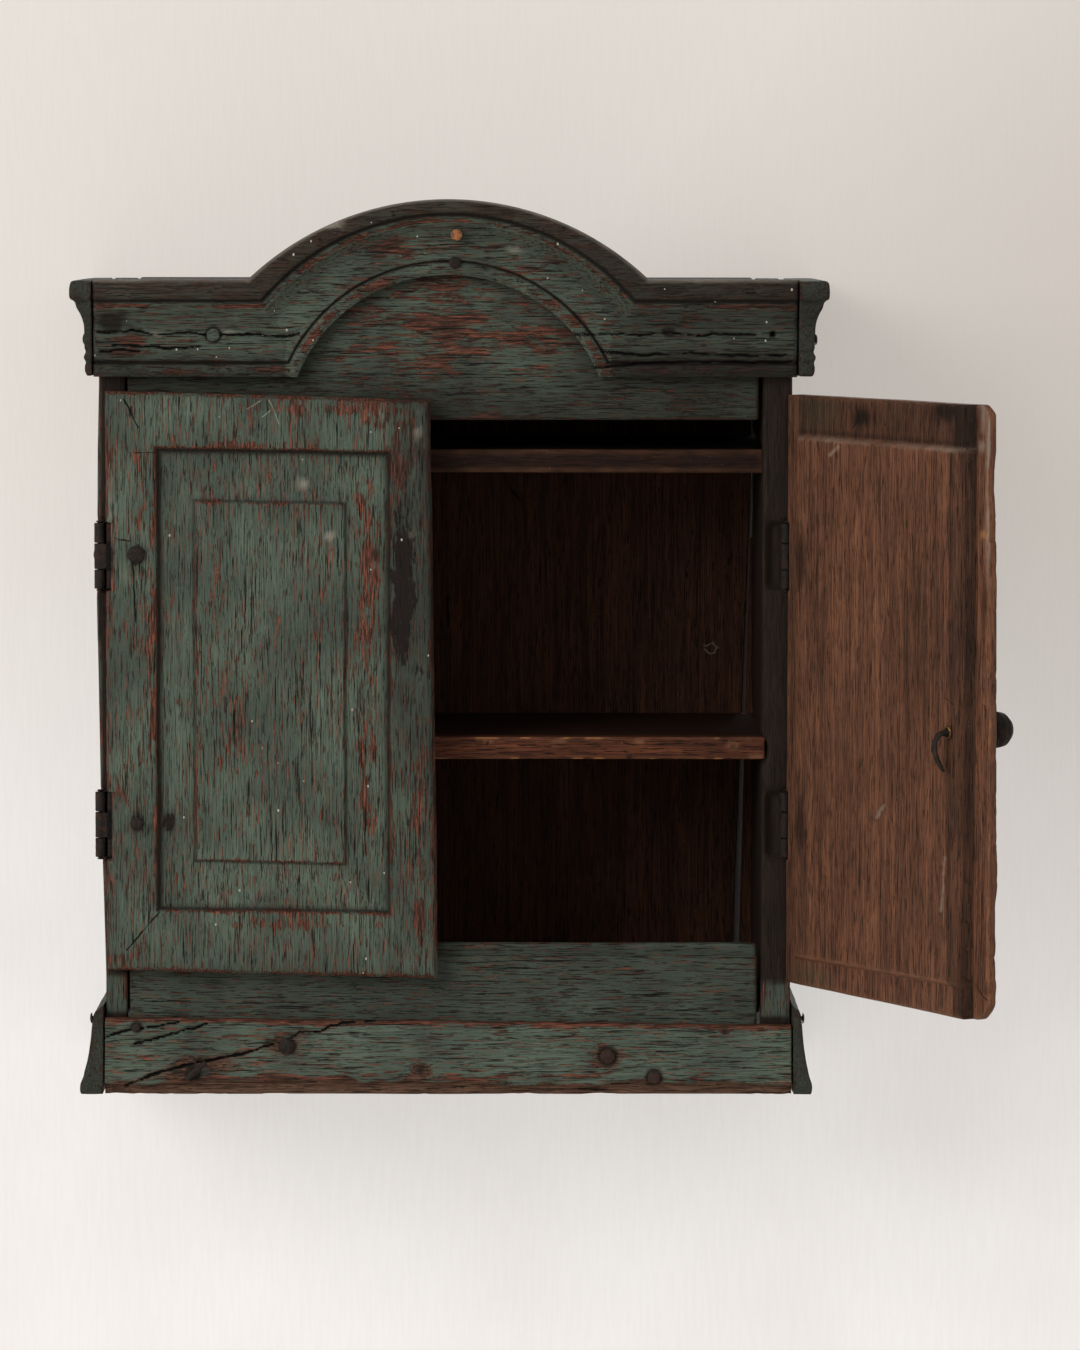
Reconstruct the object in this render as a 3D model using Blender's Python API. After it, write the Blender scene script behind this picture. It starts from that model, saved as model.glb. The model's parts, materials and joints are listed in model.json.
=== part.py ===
"""A small painted wall cupboard with an arched cornice and two lipped doors.

Pieces are placed in the cupboard's own frame: x across, y from the wall (0) towards
the room (negative), z up from the underside of the base. That frame hangs from an
empty, so that the world origin is the point of the back that meets the wall.
"""

import math

import bmesh
import bpy
from mathutils import Matrix, Vector

MM = 0.001

# Overall sizes of the carcass
HANG_HEIGHT = 300 * MM  # the world origin's height above the underside of the base
DEPTH = 232 * MM  # wall to the front edges of the side boards
SIDE_BOTTOM = 3 * MM
CORNICE_BOTTOM = 534 * MM
SIDE_TOP = CORNICE_BOTTOM + 66 * MM
INNER = {"left": -238.5 * MM, "right": 232 * MM}  # the side boards' inner faces
OUTER = {  # (height, distance of the outer face from the centre line): the left is bowed
    "left": [
        (SIDE_BOTTOM, 255.5 * MM), (85 * MM, 255.5 * MM), (210 * MM, 259 * MM),
        (370 * MM, 261.5 * MM), (480 * MM, 260.5 * MM), (530 * MM, 259.2 * MM),
        (SIDE_TOP, 259.2 * MM),
    ],
    "right": [(SIDE_BOTTOM, 255 * MM), (SIDE_TOP, 255 * MM)],
}
BASE_JOINTS = {"left": 255.5 * MM, "right": 255.3 * MM}  # ends of the base's front board
FIT = 0.3 * MM  # gap between two pieces that touch
ARRIS = 0.8 * MM  # wear on the long edges of boards

# Boards between the sides
BACK_THICKNESS = 9 * MM
BACK_BOTTOM = 58 * MM
BACK_JOINT_X = -30 * MM
BACK_RIGHT_EDGE = [  # (height, right edge) of the right back board, which tapers down
    (BACK_BOTTOM, 217.4 * MM), (445 * MM, 231.2 * MM), (SIDE_TOP, 231.2 * MM),
]
STRIP_EDGE = [(BACK_BOTTOM, 222.6 * MM), (400 * MM, 231 * MM)]  # (height, left edge) of a wedge
TOP_THICKNESS = 18 * MM
BOTTOM_THICKNESS = 18 * MM
RAIL_BOTTOM = 4 * MM
RAIL_TOP = 112 * MM
RAIL_THICKNESS = 14 * MM
RAIL_SLOPE = [(0 * MM, 101.8 * MM), (5.5 * MM, 105.2 * MM)]  # the rail's top is cut back
# along this line of (depth, height), to clear the right door's raised field
END_GAP = 1.5 * MM  # the rail and the frieze board stop this far from the right side
FRIEZE_BOTTOM = CORNICE_BOTTOM - 33 * MM
FRIEZE_THICKNESS = 14 * MM
FRIEZE_INSET = 4 * MM  # the frieze board stops this far below the cornice's top line
SHELF_SETBACK = 17 * MM  # shelf edges stand back to clear the doors and the latch
SHELVES = {  # height of the underside, and thickness
    "middle": (247 * MM, 18 * MM),
    "upper": (461 * MM, 18.5 * MM),
}
HOUSING_DEPTH = 5 * MM  # groove in each side that carries a shelf end
HANG_HOLE_RADIUS = 3 * MM
HANG_HOLE_X = 130 * MM
HANG_HOLE_Z = CORNICE_BOTTOM + 14 * MM

# Cornice: the arch over its middle is a circular arc at each height of the profile,
# given by half its chord and the height of its crown
CORNICE_JOINTS = {"left": 262 * MM, "right": 257.8 * MM}  # ends of the front board
CORNICE_ROOTS = {"left": 255.8 * MM, "right": 258 * MM}  # where the returns' profiles start
ARCH_STEPS = 36
ARCH = [  # profile height, half chord, crown
    (0 * MM, 111.5 * MM, 75.3 * MM),
    (10 * MM, 118 * MM, 85.3 * MM),
    (52 * MM, 135.5 * MM, 115 * MM),
    (57.2 * MM, 138 * MM, 121.3 * MM),
    (72 * MM, 147.9 * MM, 131 * MM),
]
CORNICE_HEIGHT = ARCH[-1][0]
CORNICE_FALL = 6 * MM  # how much lower the returns' tops are at the wall than in front
BASE_FALL = 8 * MM
RETURN_END = 2 * MM  # the returns stop this far from the wall
RETURN_GAP = 0.6 * MM  # open joint between a front board and its returns

# Base moulding
BASE_FOOT_HEIGHT = 9 * MM  # the front board's foot is broken off below this height
BASE_FOOT_BROKEN = 11.5 * MM  # projection left there
BASE_SPREAD = {"left": 1.1, "right": 0.92}  # share of the profile's projection

# Doors: axis and edge are the hinge axis and the hinge edge from the centre line, lean is
# how much narrower the head is, and drops are how far the free end hangs at foot and head
AXIS_FORWARD = 3 * MM  # the hinge axes stand in front of the side boards
DOORS = {
    "left": {
        "inward": 1, "axis": 258.4 * MM, "edge": 253.5 * MM, "width": 246.3 * MM,
        "lean": 5.6 * MM, "bottom": 93.5 * MM, "head_gap": 10 * MM,
        "drops": (6.5 * MM, 6.5 * MM), "slot": 9 * MM, "open": 0,
        "field": {"hinge": 16 * MM, "free": 28 * MM, "bottom": 27 * MM, "top": 33 * MM},
    },
    "right": {
        "inward": -1, "axis": 250.3 * MM, "edge": 247.3 * MM, "width": 247.9 * MM,
        "lean": 6.5 * MM, "bottom": 83.5 * MM, "head_gap": 12.6 * MM,
        "drops": (4 * MM, -1.8 * MM), "slot": 5.2 * MM, "open": math.radians(122.5),
        "field": {"hinge": 16 * MM, "free": 23.2 * MM, "bottom": 19.5 * MM, "top": 29.1 * MM},
    },
}
for door in DOORS.values():  # a door reaches up to the gap below the cornice
    door["height"] = CORNICE_BOTTOM - door["head_gap"] - door["bottom"]
DOOR_GAP = 0.5 * MM  # between a shut door and the side boards
BOARD_THICKNESS = 17.8 * MM  # a door's face to the plane that meets the carcass
FIELD_RISE = 5 * MM  # the raised field behind that plane
FIELD_SLOPE = 3 * MM
MEETING_WIDTH = 22.4 * MM  # rebate down the back of a door's free edge
MEETING_THICKNESS = 9.1 * MM  # what the rebate leaves of the board
DOOR_ARRIS = 1.2 * MM
RECESS = {"hinge": 38 * MM, "free": 36 * MM, "bottom": 46 * MM, "top": 42 * MM}
RECESS_DEPTH = 4.5 * MM
RECESS_ROUND = 1.6 * MM  # rounding of the carved frame's inner edge
PANEL = {"hinge": 66.5 * MM, "free": 69.5 * MM, "bottom": 83 * MM, "top": 81 * MM}
PANEL_DEPTH = 1 * MM  # the panel's face lies this far below the frame's
PANEL_STEP = 1.6 * MM

# Hinges
HINGE_HEIGHTS = {"upper": 401 * MM, "lower": 201 * MM}
HINGE_LENGTH = 49 * MM
BARREL_RADIUS = 4.2 * MM
PIN_RADIUS = 1.5 * MM
PIN_HEAD_RADIUS = 2.8 * MM
PIN_HEAD_LENGTH = 1.4 * MM
KNUCKLE_LOW = -10 * MM  # where the knuckles meet, from the hinge's middle
KNUCKLE_HIGH = 9.5 * MM
LEAF_THICKNESS = 1.8 * MM
LEAF_REACH = {"door": 31.5 * MM, "fixed": 25 * MM}  # from the axis to the end of a leaf
NECK_INSET = 0.3 * MM  # the necks are this much smaller than what they join
NOTCH_MARGIN = 1 * MM  # room round the knuckles
SIDE_NOTCH_DEPTH = 4.6 * MM
SIDE_NOTCH_REACH = 14 * MM  # from the hinge axis towards the inside
DOOR_NAIL_REACH = 27.8 * MM  # from the hinge axis to the nail through a door leaf
DOOR_NAIL_LIFT = 2 * MM  # above the hinge's middle
DOOR_NAIL_HEADS = {"upper": 7.2 * MM, "lower": 5.6 * MM}
SIDE_NAIL_BACK = 12 * MM  # from the front edge to the nail through a fixed leaf
SIDE_NAIL_LENGTH = 15 * MM
SIDE_NAIL_HEAD = 4.5 * MM
LEFT_LOWER_NAIL_HEAD = 7.5 * MM

# Turn latch on the right door
LATCH_FROM_EDGE = 34.4 * MM  # spindle from the door's free edge
LATCH_HEIGHT = 287 * MM
KNOB_RADIUS = 13.5 * MM
KNOB_LENGTH = 31 * MM
SPINDLE_RADIUS = 3 * MM
HOOK_REACH = 11 * MM  # how far the hook stands off the door's back
HOOK_DROP = 29 * MM
HOOK_WIDTH = 6.5 * MM
HOOK_THICKNESS = 4 * MM
COLLAR_RADIUS = 5 * MM
COLLAR_LENGTH = 1.6 * MM

# Nails and pegs
CLEAR = 10 * MM  # a hole starts this far outside the wood
NAIL_RADIUS = 1.6 * MM
NAIL_LENGTH = 24 * MM
BACK_NAIL_HEAD = 3.5 * MM
BACK_NAIL_LENGTH = 26 * MM
BACK_NAIL_X = {"left": -190 * MM, "right": 180 * MM}
BENT_RADIUS = 2.6 * MM
BENT_NAIL_PLACE = (-194 * MM, 13 * MM)  # across and up on the base's front board
BENT_NAIL_LENGTH = 30 * MM
PEG_LENGTH = 22 * MM
CORNICE_PEGS = {  # across, above the cornice's foot, radius, and the moulding's depth there
    "cornice_top_peg": (6 * MM, 105 * MM, 4.6 * MM, 19 * MM),
    "cornice_left_peg": (-173.5 * MM, 31 * MM, 5.2 * MM, 13.5 * MM),
}
CORNICE_NAIL = (5 * MM, 84.5 * MM, 13.6 * MM)  # across, above the foot, and depth
CORNICE_EMPTY_HOLE = (239.5 * MM, 32 * MM, 14 * MM)
CORNICE_HOLE_RADIUS = 1.8 * MM
CORNICE_HOLE_LENGTH = 20 * MM
BASE_NAILS = {  # across, up, radius and height of the head
    "base_nail_left": (-232 * MM, 50 * MM, 3.4 * MM, 1.6 * MM),
    "base_nail_large": (-120 * MM, 36 * MM, 6.8 * MM, 3 * MM),
    "base_nail_rusty": (118.5 * MM, 28.5 * MM, 6.2 * MM, 2.2 * MM),
    "base_nail_low": (153 * MM, 13 * MM, 5.2 * MM, 2 * MM),
}
RETURN_NAIL_UP = {"cornice": 27 * MM, "base": 54 * MM}
RETURN_NAIL_HEAD = (4.4 * MM, 2 * MM)

FRONT = -DEPTH  # the plane of the side boards' front edges
DOOR_BACK = AXIS_FORWARD - DOOR_GAP  # in a hinge's frame, as the next two
DOOR_FACE = DOOR_BACK - BOARD_THICKNESS
FIELD_BACK = DOOR_BACK + FIELD_RISE
BACK_FRONT = -BACK_THICKNESS - FIT  # what stands against the back boards ends here

for old in list(bpy.data.objects):
    bpy.data.objects.remove(old, do_unlink=True)


# Materials
def finish(name, colour, roughness, metallic=0.0):
    material = bpy.data.materials.new(name)
    material.use_nodes = True
    shader = material.node_tree.nodes["Principled BSDF"]
    shader.inputs["Base Color"].default_value = (*colour, 1.0)
    shader.inputs["Roughness"].default_value = roughness
    shader.inputs["Metallic"].default_value = metallic
    return material


GREEN_PAINT = finish("green_paint", (0.062, 0.098, 0.083), 0.62)
DARK_WOOD = finish("dark_wood", (0.032, 0.02, 0.015), 0.75)
SHELF_WOOD = finish("shelf_wood", (0.12, 0.055, 0.034), 0.6)
PALE_PEG = finish("pale_peg", (0.33, 0.13, 0.04), 0.6)
BRASS = finish("dull_brass", (0.3, 0.2, 0.09), 0.5, 0.7)
WROUGHT_IRON = finish("wrought_iron", (0.028, 0.025, 0.024), 0.55, 0.8)
RUSTY_IRON = finish("rusty_iron", (0.075, 0.035, 0.022), 0.75, 0.5)

cupboard = bpy.data.objects.new("cupboard_frame", None)
cupboard.location = (0, 0, -HANG_HEIGHT)
bpy.context.collection.objects.link(cupboard)


# Helpers that make solids and pieces
def place(name, mesh, material, parent=cupboard, matrix=None):
    piece = bpy.data.objects.new(name, mesh)
    bpy.context.collection.objects.link(piece)
    piece.parent = parent
    if matrix is not None:
        piece.matrix_local = matrix
    if material is not None:
        mesh.materials.append(material)
    return piece


def loft(name, sections):
    """A closed solid through sections that hold the same number of points."""
    shape = bmesh.new()
    rings = [[shape.verts.new(point) for point in section] for section in sections]
    count = len(rings[0])
    for lower, upper in zip(rings, rings[1:]):
        for j in range(count):
            k = (j + 1) % count
            shape.faces.new((lower[j], lower[k], upper[k], upper[j]))
    shape.faces.new(rings[0])
    shape.faces.new(rings[-1])
    bmesh.ops.recalc_face_normals(shape, faces=shape.faces)
    mesh = bpy.data.meshes.new(name)
    shape.to_mesh(mesh)
    shape.free()
    return mesh


def rectangle(x0, x1, y0, y1, z):
    return [(x0, y0, z), (x1, y0, z), (x1, y1, z), (x0, y1, z)]


def block(name, low, high):
    sections = [rectangle(low[0], high[0], low[1], high[1], z) for z in (low[2], high[2])]
    return loft(name, sections)


def soften(piece, width=ARRIS):
    bevel = piece.modifiers.new("worn_arris", "BEVEL")
    bevel.width = width
    bevel.segments = 1
    bevel.limit_method = "ANGLE"
    return piece


def board(name, low, high, material):
    return soften(place(name, block(name, low, high), material))


def turned(name, profile, sides=20):
    """A solid turned about z through (radius, height) points."""
    angles = [2 * math.pi * i / sides for i in range(sides)]
    sections = [
        [(radius * math.cos(angle), radius * math.sin(angle), height) for angle in angles]
        for radius, height in profile
    ]
    return loft(name, sections)


def smooth(piece):
    piece.data.shade_smooth()
    piece.data.set_sharp_from_angle(angle=math.radians(35))
    return piece


def aim(point, direction):
    """A placement at point whose z runs along direction."""
    turn = Vector((0, 0, 1)).rotation_difference(Vector(direction))
    return Matrix.Translation(point) @ turn.to_matrix().to_4x4()


def combine(piece, other, operation):
    other.hide_render = True
    other.display_type = "WIRE"
    boolean = piece.modifiers.new(other.name, "BOOLEAN")
    boolean.operation = operation
    boolean.solver = "EXACT"
    boolean.object = other


def cut_box(piece, name, low, high, parent=cupboard):
    combine(piece, place(name, block(name, low, high), None, parent), "DIFFERENCE")


def drill(pieces, name, point, direction, radius, length, parent=cupboard, sides=14):
    """A round hole from point along direction, through every piece listed."""
    mesh = turned(name, [(radius, 0), (radius, length)], sides)
    cutter = place(name, mesh, None, parent, aim(point, direction))
    for piece in pieces:
        combine(piece, cutter, "DIFFERENCE")


def bow(start, end, rise, steps):
    """Profile points from start to end whose projection bulges by rise, or hollows."""
    points = []
    for i in range(steps + 1):
        t = i / steps
        height = start[0] + (end[0] - start[0]) * t
        projection = start[1] + (end[1] - start[1]) * t + 4 * rise * t * (1 - t)
        points.append((height, projection))
    return points


def nail(name, pieces, point, inward, length, head, material=WROUGHT_IRON):
    """A nail driven at a surface point through pieces, on a seat cut for its head.

    head is the (radius, height) of its domed head.
    """
    head_radius, head_height = head
    profile = [
        (NAIL_RADIUS * 0.35, -length),
        (NAIL_RADIUS, -length * 0.75),
        (NAIL_RADIUS, FIT),
        (head_radius * 0.94, FIT),
        (head_radius, FIT + head_height * 0.3),
        (head_radius * 0.72, FIT + head_height * 0.8),
        (head_radius * 0.3, FIT + head_height),
    ]
    outward = [-a for a in inward]
    smooth(place(name, turned(name, profile, 14), material, cupboard, aim(point, outward)))
    bore(pieces, name, point, inward, NAIL_RADIUS, length)
    clear = Vector(point) + Vector(outward) * CLEAR
    drill(pieces[:1], name + "_seat", clear, inward, head_radius + FIT, CLEAR)


def bore(pieces, name, point, inward, radius, length, parent=cupboard):
    """A blind hole for a nail or peg, from clear of the surface to past its end."""
    start = Vector(point) - Vector(inward) * CLEAR
    drill(pieces, name + "_hole", start, inward, radius + FIT, length + CLEAR + FIT, parent, 12)


def outer_face(side, height):
    """Distance from the centre line to a side board's outer face."""
    for (low, near), (high, far) in zip(OUTER[side], OUTER[side][1:]):
        if height <= high:
            break
    return near + (far - near) * max(0, height - low) / (high - low)


# Carcass
sides = {}
for side, sign in (("left", -1), ("right", 1)):
    side_sections = [
        rectangle(*sorted((INNER[side], sign * outer)), FRONT, 0, z) for z, outer in OUTER[side]
    ]
    sides[side] = soften(place(side + "_side", loft(side + "_side", side_sections), GREEN_PAINT))
    bottom_of_groove = INNER[side] + sign * HOUSING_DEPTH
    groove_faces = sorted((INNER[side] - sign * HOUSING_DEPTH, bottom_of_groove))
    for shelf, (bottom, thickness) in SHELVES.items():
        # The middle shelf's housing is cut through the board's front edge, the other is not
        groove_front = FRONT - CLEAR if shelf == "middle" else FRONT + SHELF_SETBACK - FIT
        cut_box(
            sides[side], f"{side}_{shelf}_housing",
            (groove_faces[0], groove_front, bottom - FIT),
            (groove_faces[1], CLEAR, bottom + thickness + FIT),
        )

shelves = {}
for shelf, (bottom, thickness) in SHELVES.items():
    shelves[shelf] = board(
        shelf + "_shelf",
        (INNER["left"] - HOUSING_DEPTH + FIT, FRONT + SHELF_SETBACK, bottom),
        (INNER["right"] + HOUSING_DEPTH - FIT, BACK_FRONT, bottom + thickness),
        SHELF_WOOD,
    )

LEFT_END = INNER["left"] + FIT
RIGHT_END = INNER["right"] - FIT
BOTTOM_TOP = BACK_BOTTOM + BOTTOM_THICKNESS

top_board = board(
    "top_board",
    (LEFT_END, FRONT + FRIEZE_THICKNESS + FIT, SIDE_TOP - TOP_THICKNESS),
    (RIGHT_END, BACK_FRONT, SIDE_TOP),
    DARK_WOOD,
)
bottom_board = board(
    "bottom_board",
    (LEFT_END, FRONT + RAIL_THICKNESS + FIT, BACK_BOTTOM),
    (RIGHT_END, BACK_FRONT, BOTTOM_TOP),
    DARK_WOOD,
)
bottom_rail = board(
    "bottom_rail",
    (LEFT_END, FRONT, RAIL_BOTTOM),
    (INNER["right"] - END_GAP, FRONT + RAIL_THICKNESS, RAIL_TOP),
    GREEN_PAINT,
)
slope_line = [
    (FRONT - CLEAR, RAIL_SLOPE[0][1]),
    *((FRONT + depth, height) for depth, height in RAIL_SLOPE),
    (FRONT + RAIL_SLOPE[-1][0], RAIL_TOP + CLEAR),
    (FRONT - CLEAR, RAIL_TOP + CLEAR),
]
slope_sections = [
    [(x, y, z) for y, z in slope_line] for x in (LEFT_END - CLEAR, RIGHT_END + CLEAR)
]
slope_cutter = place("rail_slope", loft("rail_slope", slope_sections), None)
combine(bottom_rail, slope_cutter, "DIFFERENCE")

back_left = board(
    "back_board_left",
    (LEFT_END, -BACK_THICKNESS, BACK_BOTTOM),
    (BACK_JOINT_X - FIT / 2, 0, SIDE_TOP),
    DARK_WOOD,
)
back_sections = [
    rectangle(BACK_JOINT_X + FIT / 2, edge, -BACK_THICKNESS, 0, z) for z, edge in BACK_RIGHT_EDGE
]
back_right = soften(
    place("back_board_right", loft("back_board_right", back_sections), DARK_WOOD)
)
strip_sections = [rectangle(edge, RIGHT_END, -BACK_THICKNESS, 0, z) for z, edge in STRIP_EDGE]
place("back_wedge", loft("back_wedge", strip_sections), DARK_WOOD)
for piece, x in ((back_left, -HANG_HOLE_X), (back_right, HANG_HOLE_X)):
    drill(
        [piece], piece.name + "_hanging_hole", (x, -2 * BACK_THICKNESS, HANG_HOLE_Z),
        (0, 1, 0), HANG_HOLE_RADIUS, 3 * BACK_THICKNESS,
    )


# Cornice
def arch_at(height):
    """Half the chord, and the crown, of the arch's line at a height of the profile."""
    for (low, chord_0, crown_0), (high, chord_1, crown_1) in zip(ARCH, ARCH[1:]):
        if height <= high:
            break
    t = (height - low) / (high - low)
    return chord_0 + (chord_1 - chord_0) * t, crown_0 + (crown_1 - crown_0) * t


def arch_line(height):
    """(x, z) points of the line at a height of the profile: leg, arch, leg."""
    half_chord, crown = arch_at(height)
    rise = crown - height
    radius = (half_chord ** 2 + rise ** 2) / (2 * rise)
    half_angle = math.asin(half_chord / radius)
    points = [(-CORNICE_JOINTS["left"], CORNICE_BOTTOM + height)]
    for i in range(ARCH_STEPS + 1):
        angle = half_angle * (2 * i / ARCH_STEPS - 1)
        z = CORNICE_BOTTOM + crown - radius * (1 - math.cos(angle))
        points.append((radius * math.sin(angle), z))
    points.append((CORNICE_JOINTS["right"], CORNICE_BOTTOM + height))
    return points


def in_mm(points):
    return [(height * MM, projection * MM) for height, projection in points]


# Height and projection of the moulding in millimetres: a bead at the foot, and at the
# head a cove under a rounded fillet; only the returns have a second bead between them
FOOT_BEAD = bow((0, 11.5), (9.6, 12.8), 1, 3) + [(10.3, 11.4)]
SECOND_BEAD = bow((11.2, 12.3), (17.5, 12.6), 1.5, 4) + [(19.2, 11.8), (20.6, 13.2)]
HEAD_MOULDING = (
    bow((33, 13.5), (50.8, 18.7), -1.5, 5)
    + [(51.8, 18), (52.6, 19.2), (56, 19.8), (57.2, 22.8)]
    + bow((59, 23.6), (69.5, 23.4), 0.3, 2)
    + [(71.4, 22), (72, 20)]
)
CORNICE_PROFILE = in_mm(FOOT_BEAD + [(11.4, 12.5)] + HEAD_MOULDING)
RETURN_PROFILE = in_mm(FOOT_BEAD + SECOND_BEAD + HEAD_MOULDING)

front_lines = [
    [(x, FRONT - projection, z) for x, z in arch_line(height)]
    for height, projection in CORNICE_PROFILE
]
back_lines = [
    [(x, FRONT - FIT, z) for x, z in arch_line(height)]
    for height in (CORNICE_PROFILE[-1][0], CORNICE_PROFILE[0][0])
]
cornice_front = smooth(
    place(
        "cornice_front",
        loft("cornice_front", list(zip(*front_lines, *back_lines))),
        GREEN_PAINT,
    )
)

frieze_line = arch_line(CORNICE_HEIGHT - FRIEZE_INSET)
frieze_top = [(x, z - FRIEZE_INSET / 2) for x, z in frieze_line]
frieze_top[0] = (LEFT_END, frieze_top[0][1])
frieze_top[-1] = (INNER["right"] - END_GAP, frieze_top[-1][1])
frieze_sections = [
    [
        (x, FRONT, FRIEZE_BOTTOM),
        (x, FRONT + FRIEZE_THICKNESS, FRIEZE_BOTTOM),
        (x, FRONT + FRIEZE_THICKNESS, z),
        (x, FRONT, z),
    ]
    for x, z in frieze_top
]
frieze_board = place("frieze_board", loft("frieze_board", frieze_sections), GREEN_PAINT)


def mitred_return(name, side, profile, bottom, joint, root, fall, spread=1.0):
    """A moulded strip along a side board, whose front end turns the corner.

    Its front end meets the front board at joint, its profile stands out from root, and
    its top line falls towards the wall.
    """
    sign = {"left": -1, "right": 1}[side]
    inner = outer_face(side, bottom) + FIT
    shrink = 1 - fall / profile[-1][0]
    sections = []
    for height, projection in profile:
        outer = max(root + projection * spread, inner + FIT)
        nose = FRONT - max(projection, FIT)
        lap = max(inner, min(joint + RETURN_GAP, outer - FIT / 2))
        plan = [
            (inner, -RETURN_END, height * shrink),
            (outer, -RETURN_END, height * shrink),
            (outer, nose, height),
            (lap, nose, height),
            (lap, FRONT - FIT, height),
            (inner, FRONT - FIT, height),
        ]
        sections.append([(sign * x, y, bottom + z) for x, y, z in plan])
    return smooth(place(name, loft(name, sections), GREEN_PAINT))


cornice_returns = {
    side: mitred_return(
        f"cornice_{side}_return", side, RETURN_PROFILE, CORNICE_BOTTOM,
        CORNICE_JOINTS[side], CORNICE_ROOTS[side], CORNICE_FALL,
    )
    for side in sides
}

# Base moulding
BASE_PROFILE = in_mm(
    bow((0, 16.6), (9.5, 16.8), 0.8, 3)
    + [(13.5, 15)]
    + bow((17, 14.4), (50, 9.6), -0.8, 5)
    + [(58, 8.8)]
)
RETURN_TOP = in_mm([(62, 7), (67, 0.8)])  # the returns rise above the front board

base_front_profile = []
for height, projection in BASE_PROFILE:
    whole = min(1, height / BASE_FOOT_HEIGHT)
    broken = BASE_FOOT_BROKEN + (projection - BASE_FOOT_BROKEN) * whole
    base_front_profile.append((height, broken))
base_front_sections = [
    [(x, FRONT - projection, height) for height, projection in base_front_profile]
    + [
        (x, FRONT - FIT, base_front_profile[-1][0]),
        (x, FRONT - FIT, base_front_profile[0][0]),
    ]
    for x in (-BASE_JOINTS["left"], BASE_JOINTS["right"])
]
base_front = smooth(
    place("base_front", loft("base_front", base_front_sections), GREEN_PAINT)
)
base_returns = {
    side: mitred_return(
        f"base_{side}_return", side, BASE_PROFILE + RETURN_TOP, 0,
        BASE_JOINTS[side], BASE_JOINTS[side], BASE_FALL, BASE_SPREAD[side],
    )
    for side in sides
}


# Doors
def door_mesh(name, door):
    """A board carved as a frame and a fielded panel, with a raised field on its back."""
    start = door["axis"] - door["edge"]

    def ring(margins, y, lean=0.0, droop=0.6):
        corners = []
        for across, up in ((0, 0), (1, 0), (1, 1), (0, 1)):
            width = door["width"] - door["lean"] * lean * up
            x = margins["hinge"] if across == 0 else width - margins["free"]
            z = margins["bottom"] if up == 0 else door["height"] - margins["top"]
            drop = door["drops"][up] * droop * x / door["width"]
            corners.append((door["inward"] * (start + x), y, door["bottom"] + z - drop))
        return corners

    def grown(margins, by):
        return {edge: margin + by for edge, margin in margins.items()}

    edges = {"hinge": 0, "free": 0, "bottom": 0, "top": 0}
    field = door["field"]
    rings = [
        ring(PANEL, DOOR_FACE + PANEL_DEPTH),
        ring(grown(PANEL, -PANEL_STEP / 2), DOOR_FACE + PANEL_DEPTH + PANEL_STEP),
        ring(grown(RECESS, RECESS_ROUND), DOOR_FACE + RECESS_DEPTH),
        ring(grown(RECESS, RECESS_ROUND / 2), DOOR_FACE + RECESS_ROUND),
        ring(grown(RECESS, -RECESS_ROUND / 2), DOOR_FACE),
        ring(grown(edges, DOOR_ARRIS), DOOR_FACE, 1, 1),
        ring(edges, DOOR_FACE + DOOR_ARRIS, 1, 1),
        ring(edges, DOOR_BACK - DOOR_ARRIS, 1, 1),
        ring(grown(edges, DOOR_ARRIS), DOOR_BACK, 1, 1),
        ring(field, DOOR_BACK, 0, 0),
        ring(grown(field, FIELD_SLOPE), FIELD_BACK, 0, 0),
    ]
    return loft(name, rings)


def meeting_rebate(piece, door, frame):
    """The rebate down the whole back of a door's free edge."""
    start = door["axis"] - door["edge"] + door["width"] - MEETING_WIDTH
    name = piece.name + "_rebate"
    mesh = local_box(
        name, door["inward"], start, start + 2 * MEETING_WIDTH,
        DOOR_FACE + MEETING_THICKNESS, FIELD_BACK + CLEAR,
        door["bottom"] - CLEAR, door["bottom"] + door["height"] + CLEAR,
    )
    combine(piece, place(name, mesh, None, frame), "DIFFERENCE")


KNUCKLES = {  # which leaf holds each knuckle, and its ends from the hinge's middle
    "low": ("fixed", -HINGE_LENGTH / 2, KNUCKLE_LOW - FIT / 2),
    "middle": ("door", KNUCKLE_LOW + FIT / 2, KNUCKLE_HIGH - FIT / 2),
    "high": ("fixed", KNUCKLE_HIGH + FIT / 2, HINGE_LENGTH / 2),
}
PLATE_NEAR = BARREL_RADIUS + NOTCH_MARGIN  # the plates start this far from the axis


def local_box(name, inward, x0, x1, y0, y1, z0, z1):
    low, high = sorted((inward * x0, inward * x1))
    return block(name, (low, y0, z0), (high, y1, z1))


def leaf_box(name, kind, inward, along, z_range, grow):
    """A box along a leaf's plane, which touches the barrel, as much thicker as grow.

    A door leaf runs into the door's edge, and a fixed leaf back into the side board.
    """
    near, far = along
    low, high = z_range
    if kind == "door":
        front = -BARREL_RADIUS
        back = front + LEAF_THICKNESS
        return local_box(name, inward, near, far, front - grow, back + grow, low, high)
    inner = BARREL_RADIUS
    outer = inner - LEAF_THICKNESS
    return local_box(name, inward, outer - grow, inner + grow, near, far, low, high)


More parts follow.
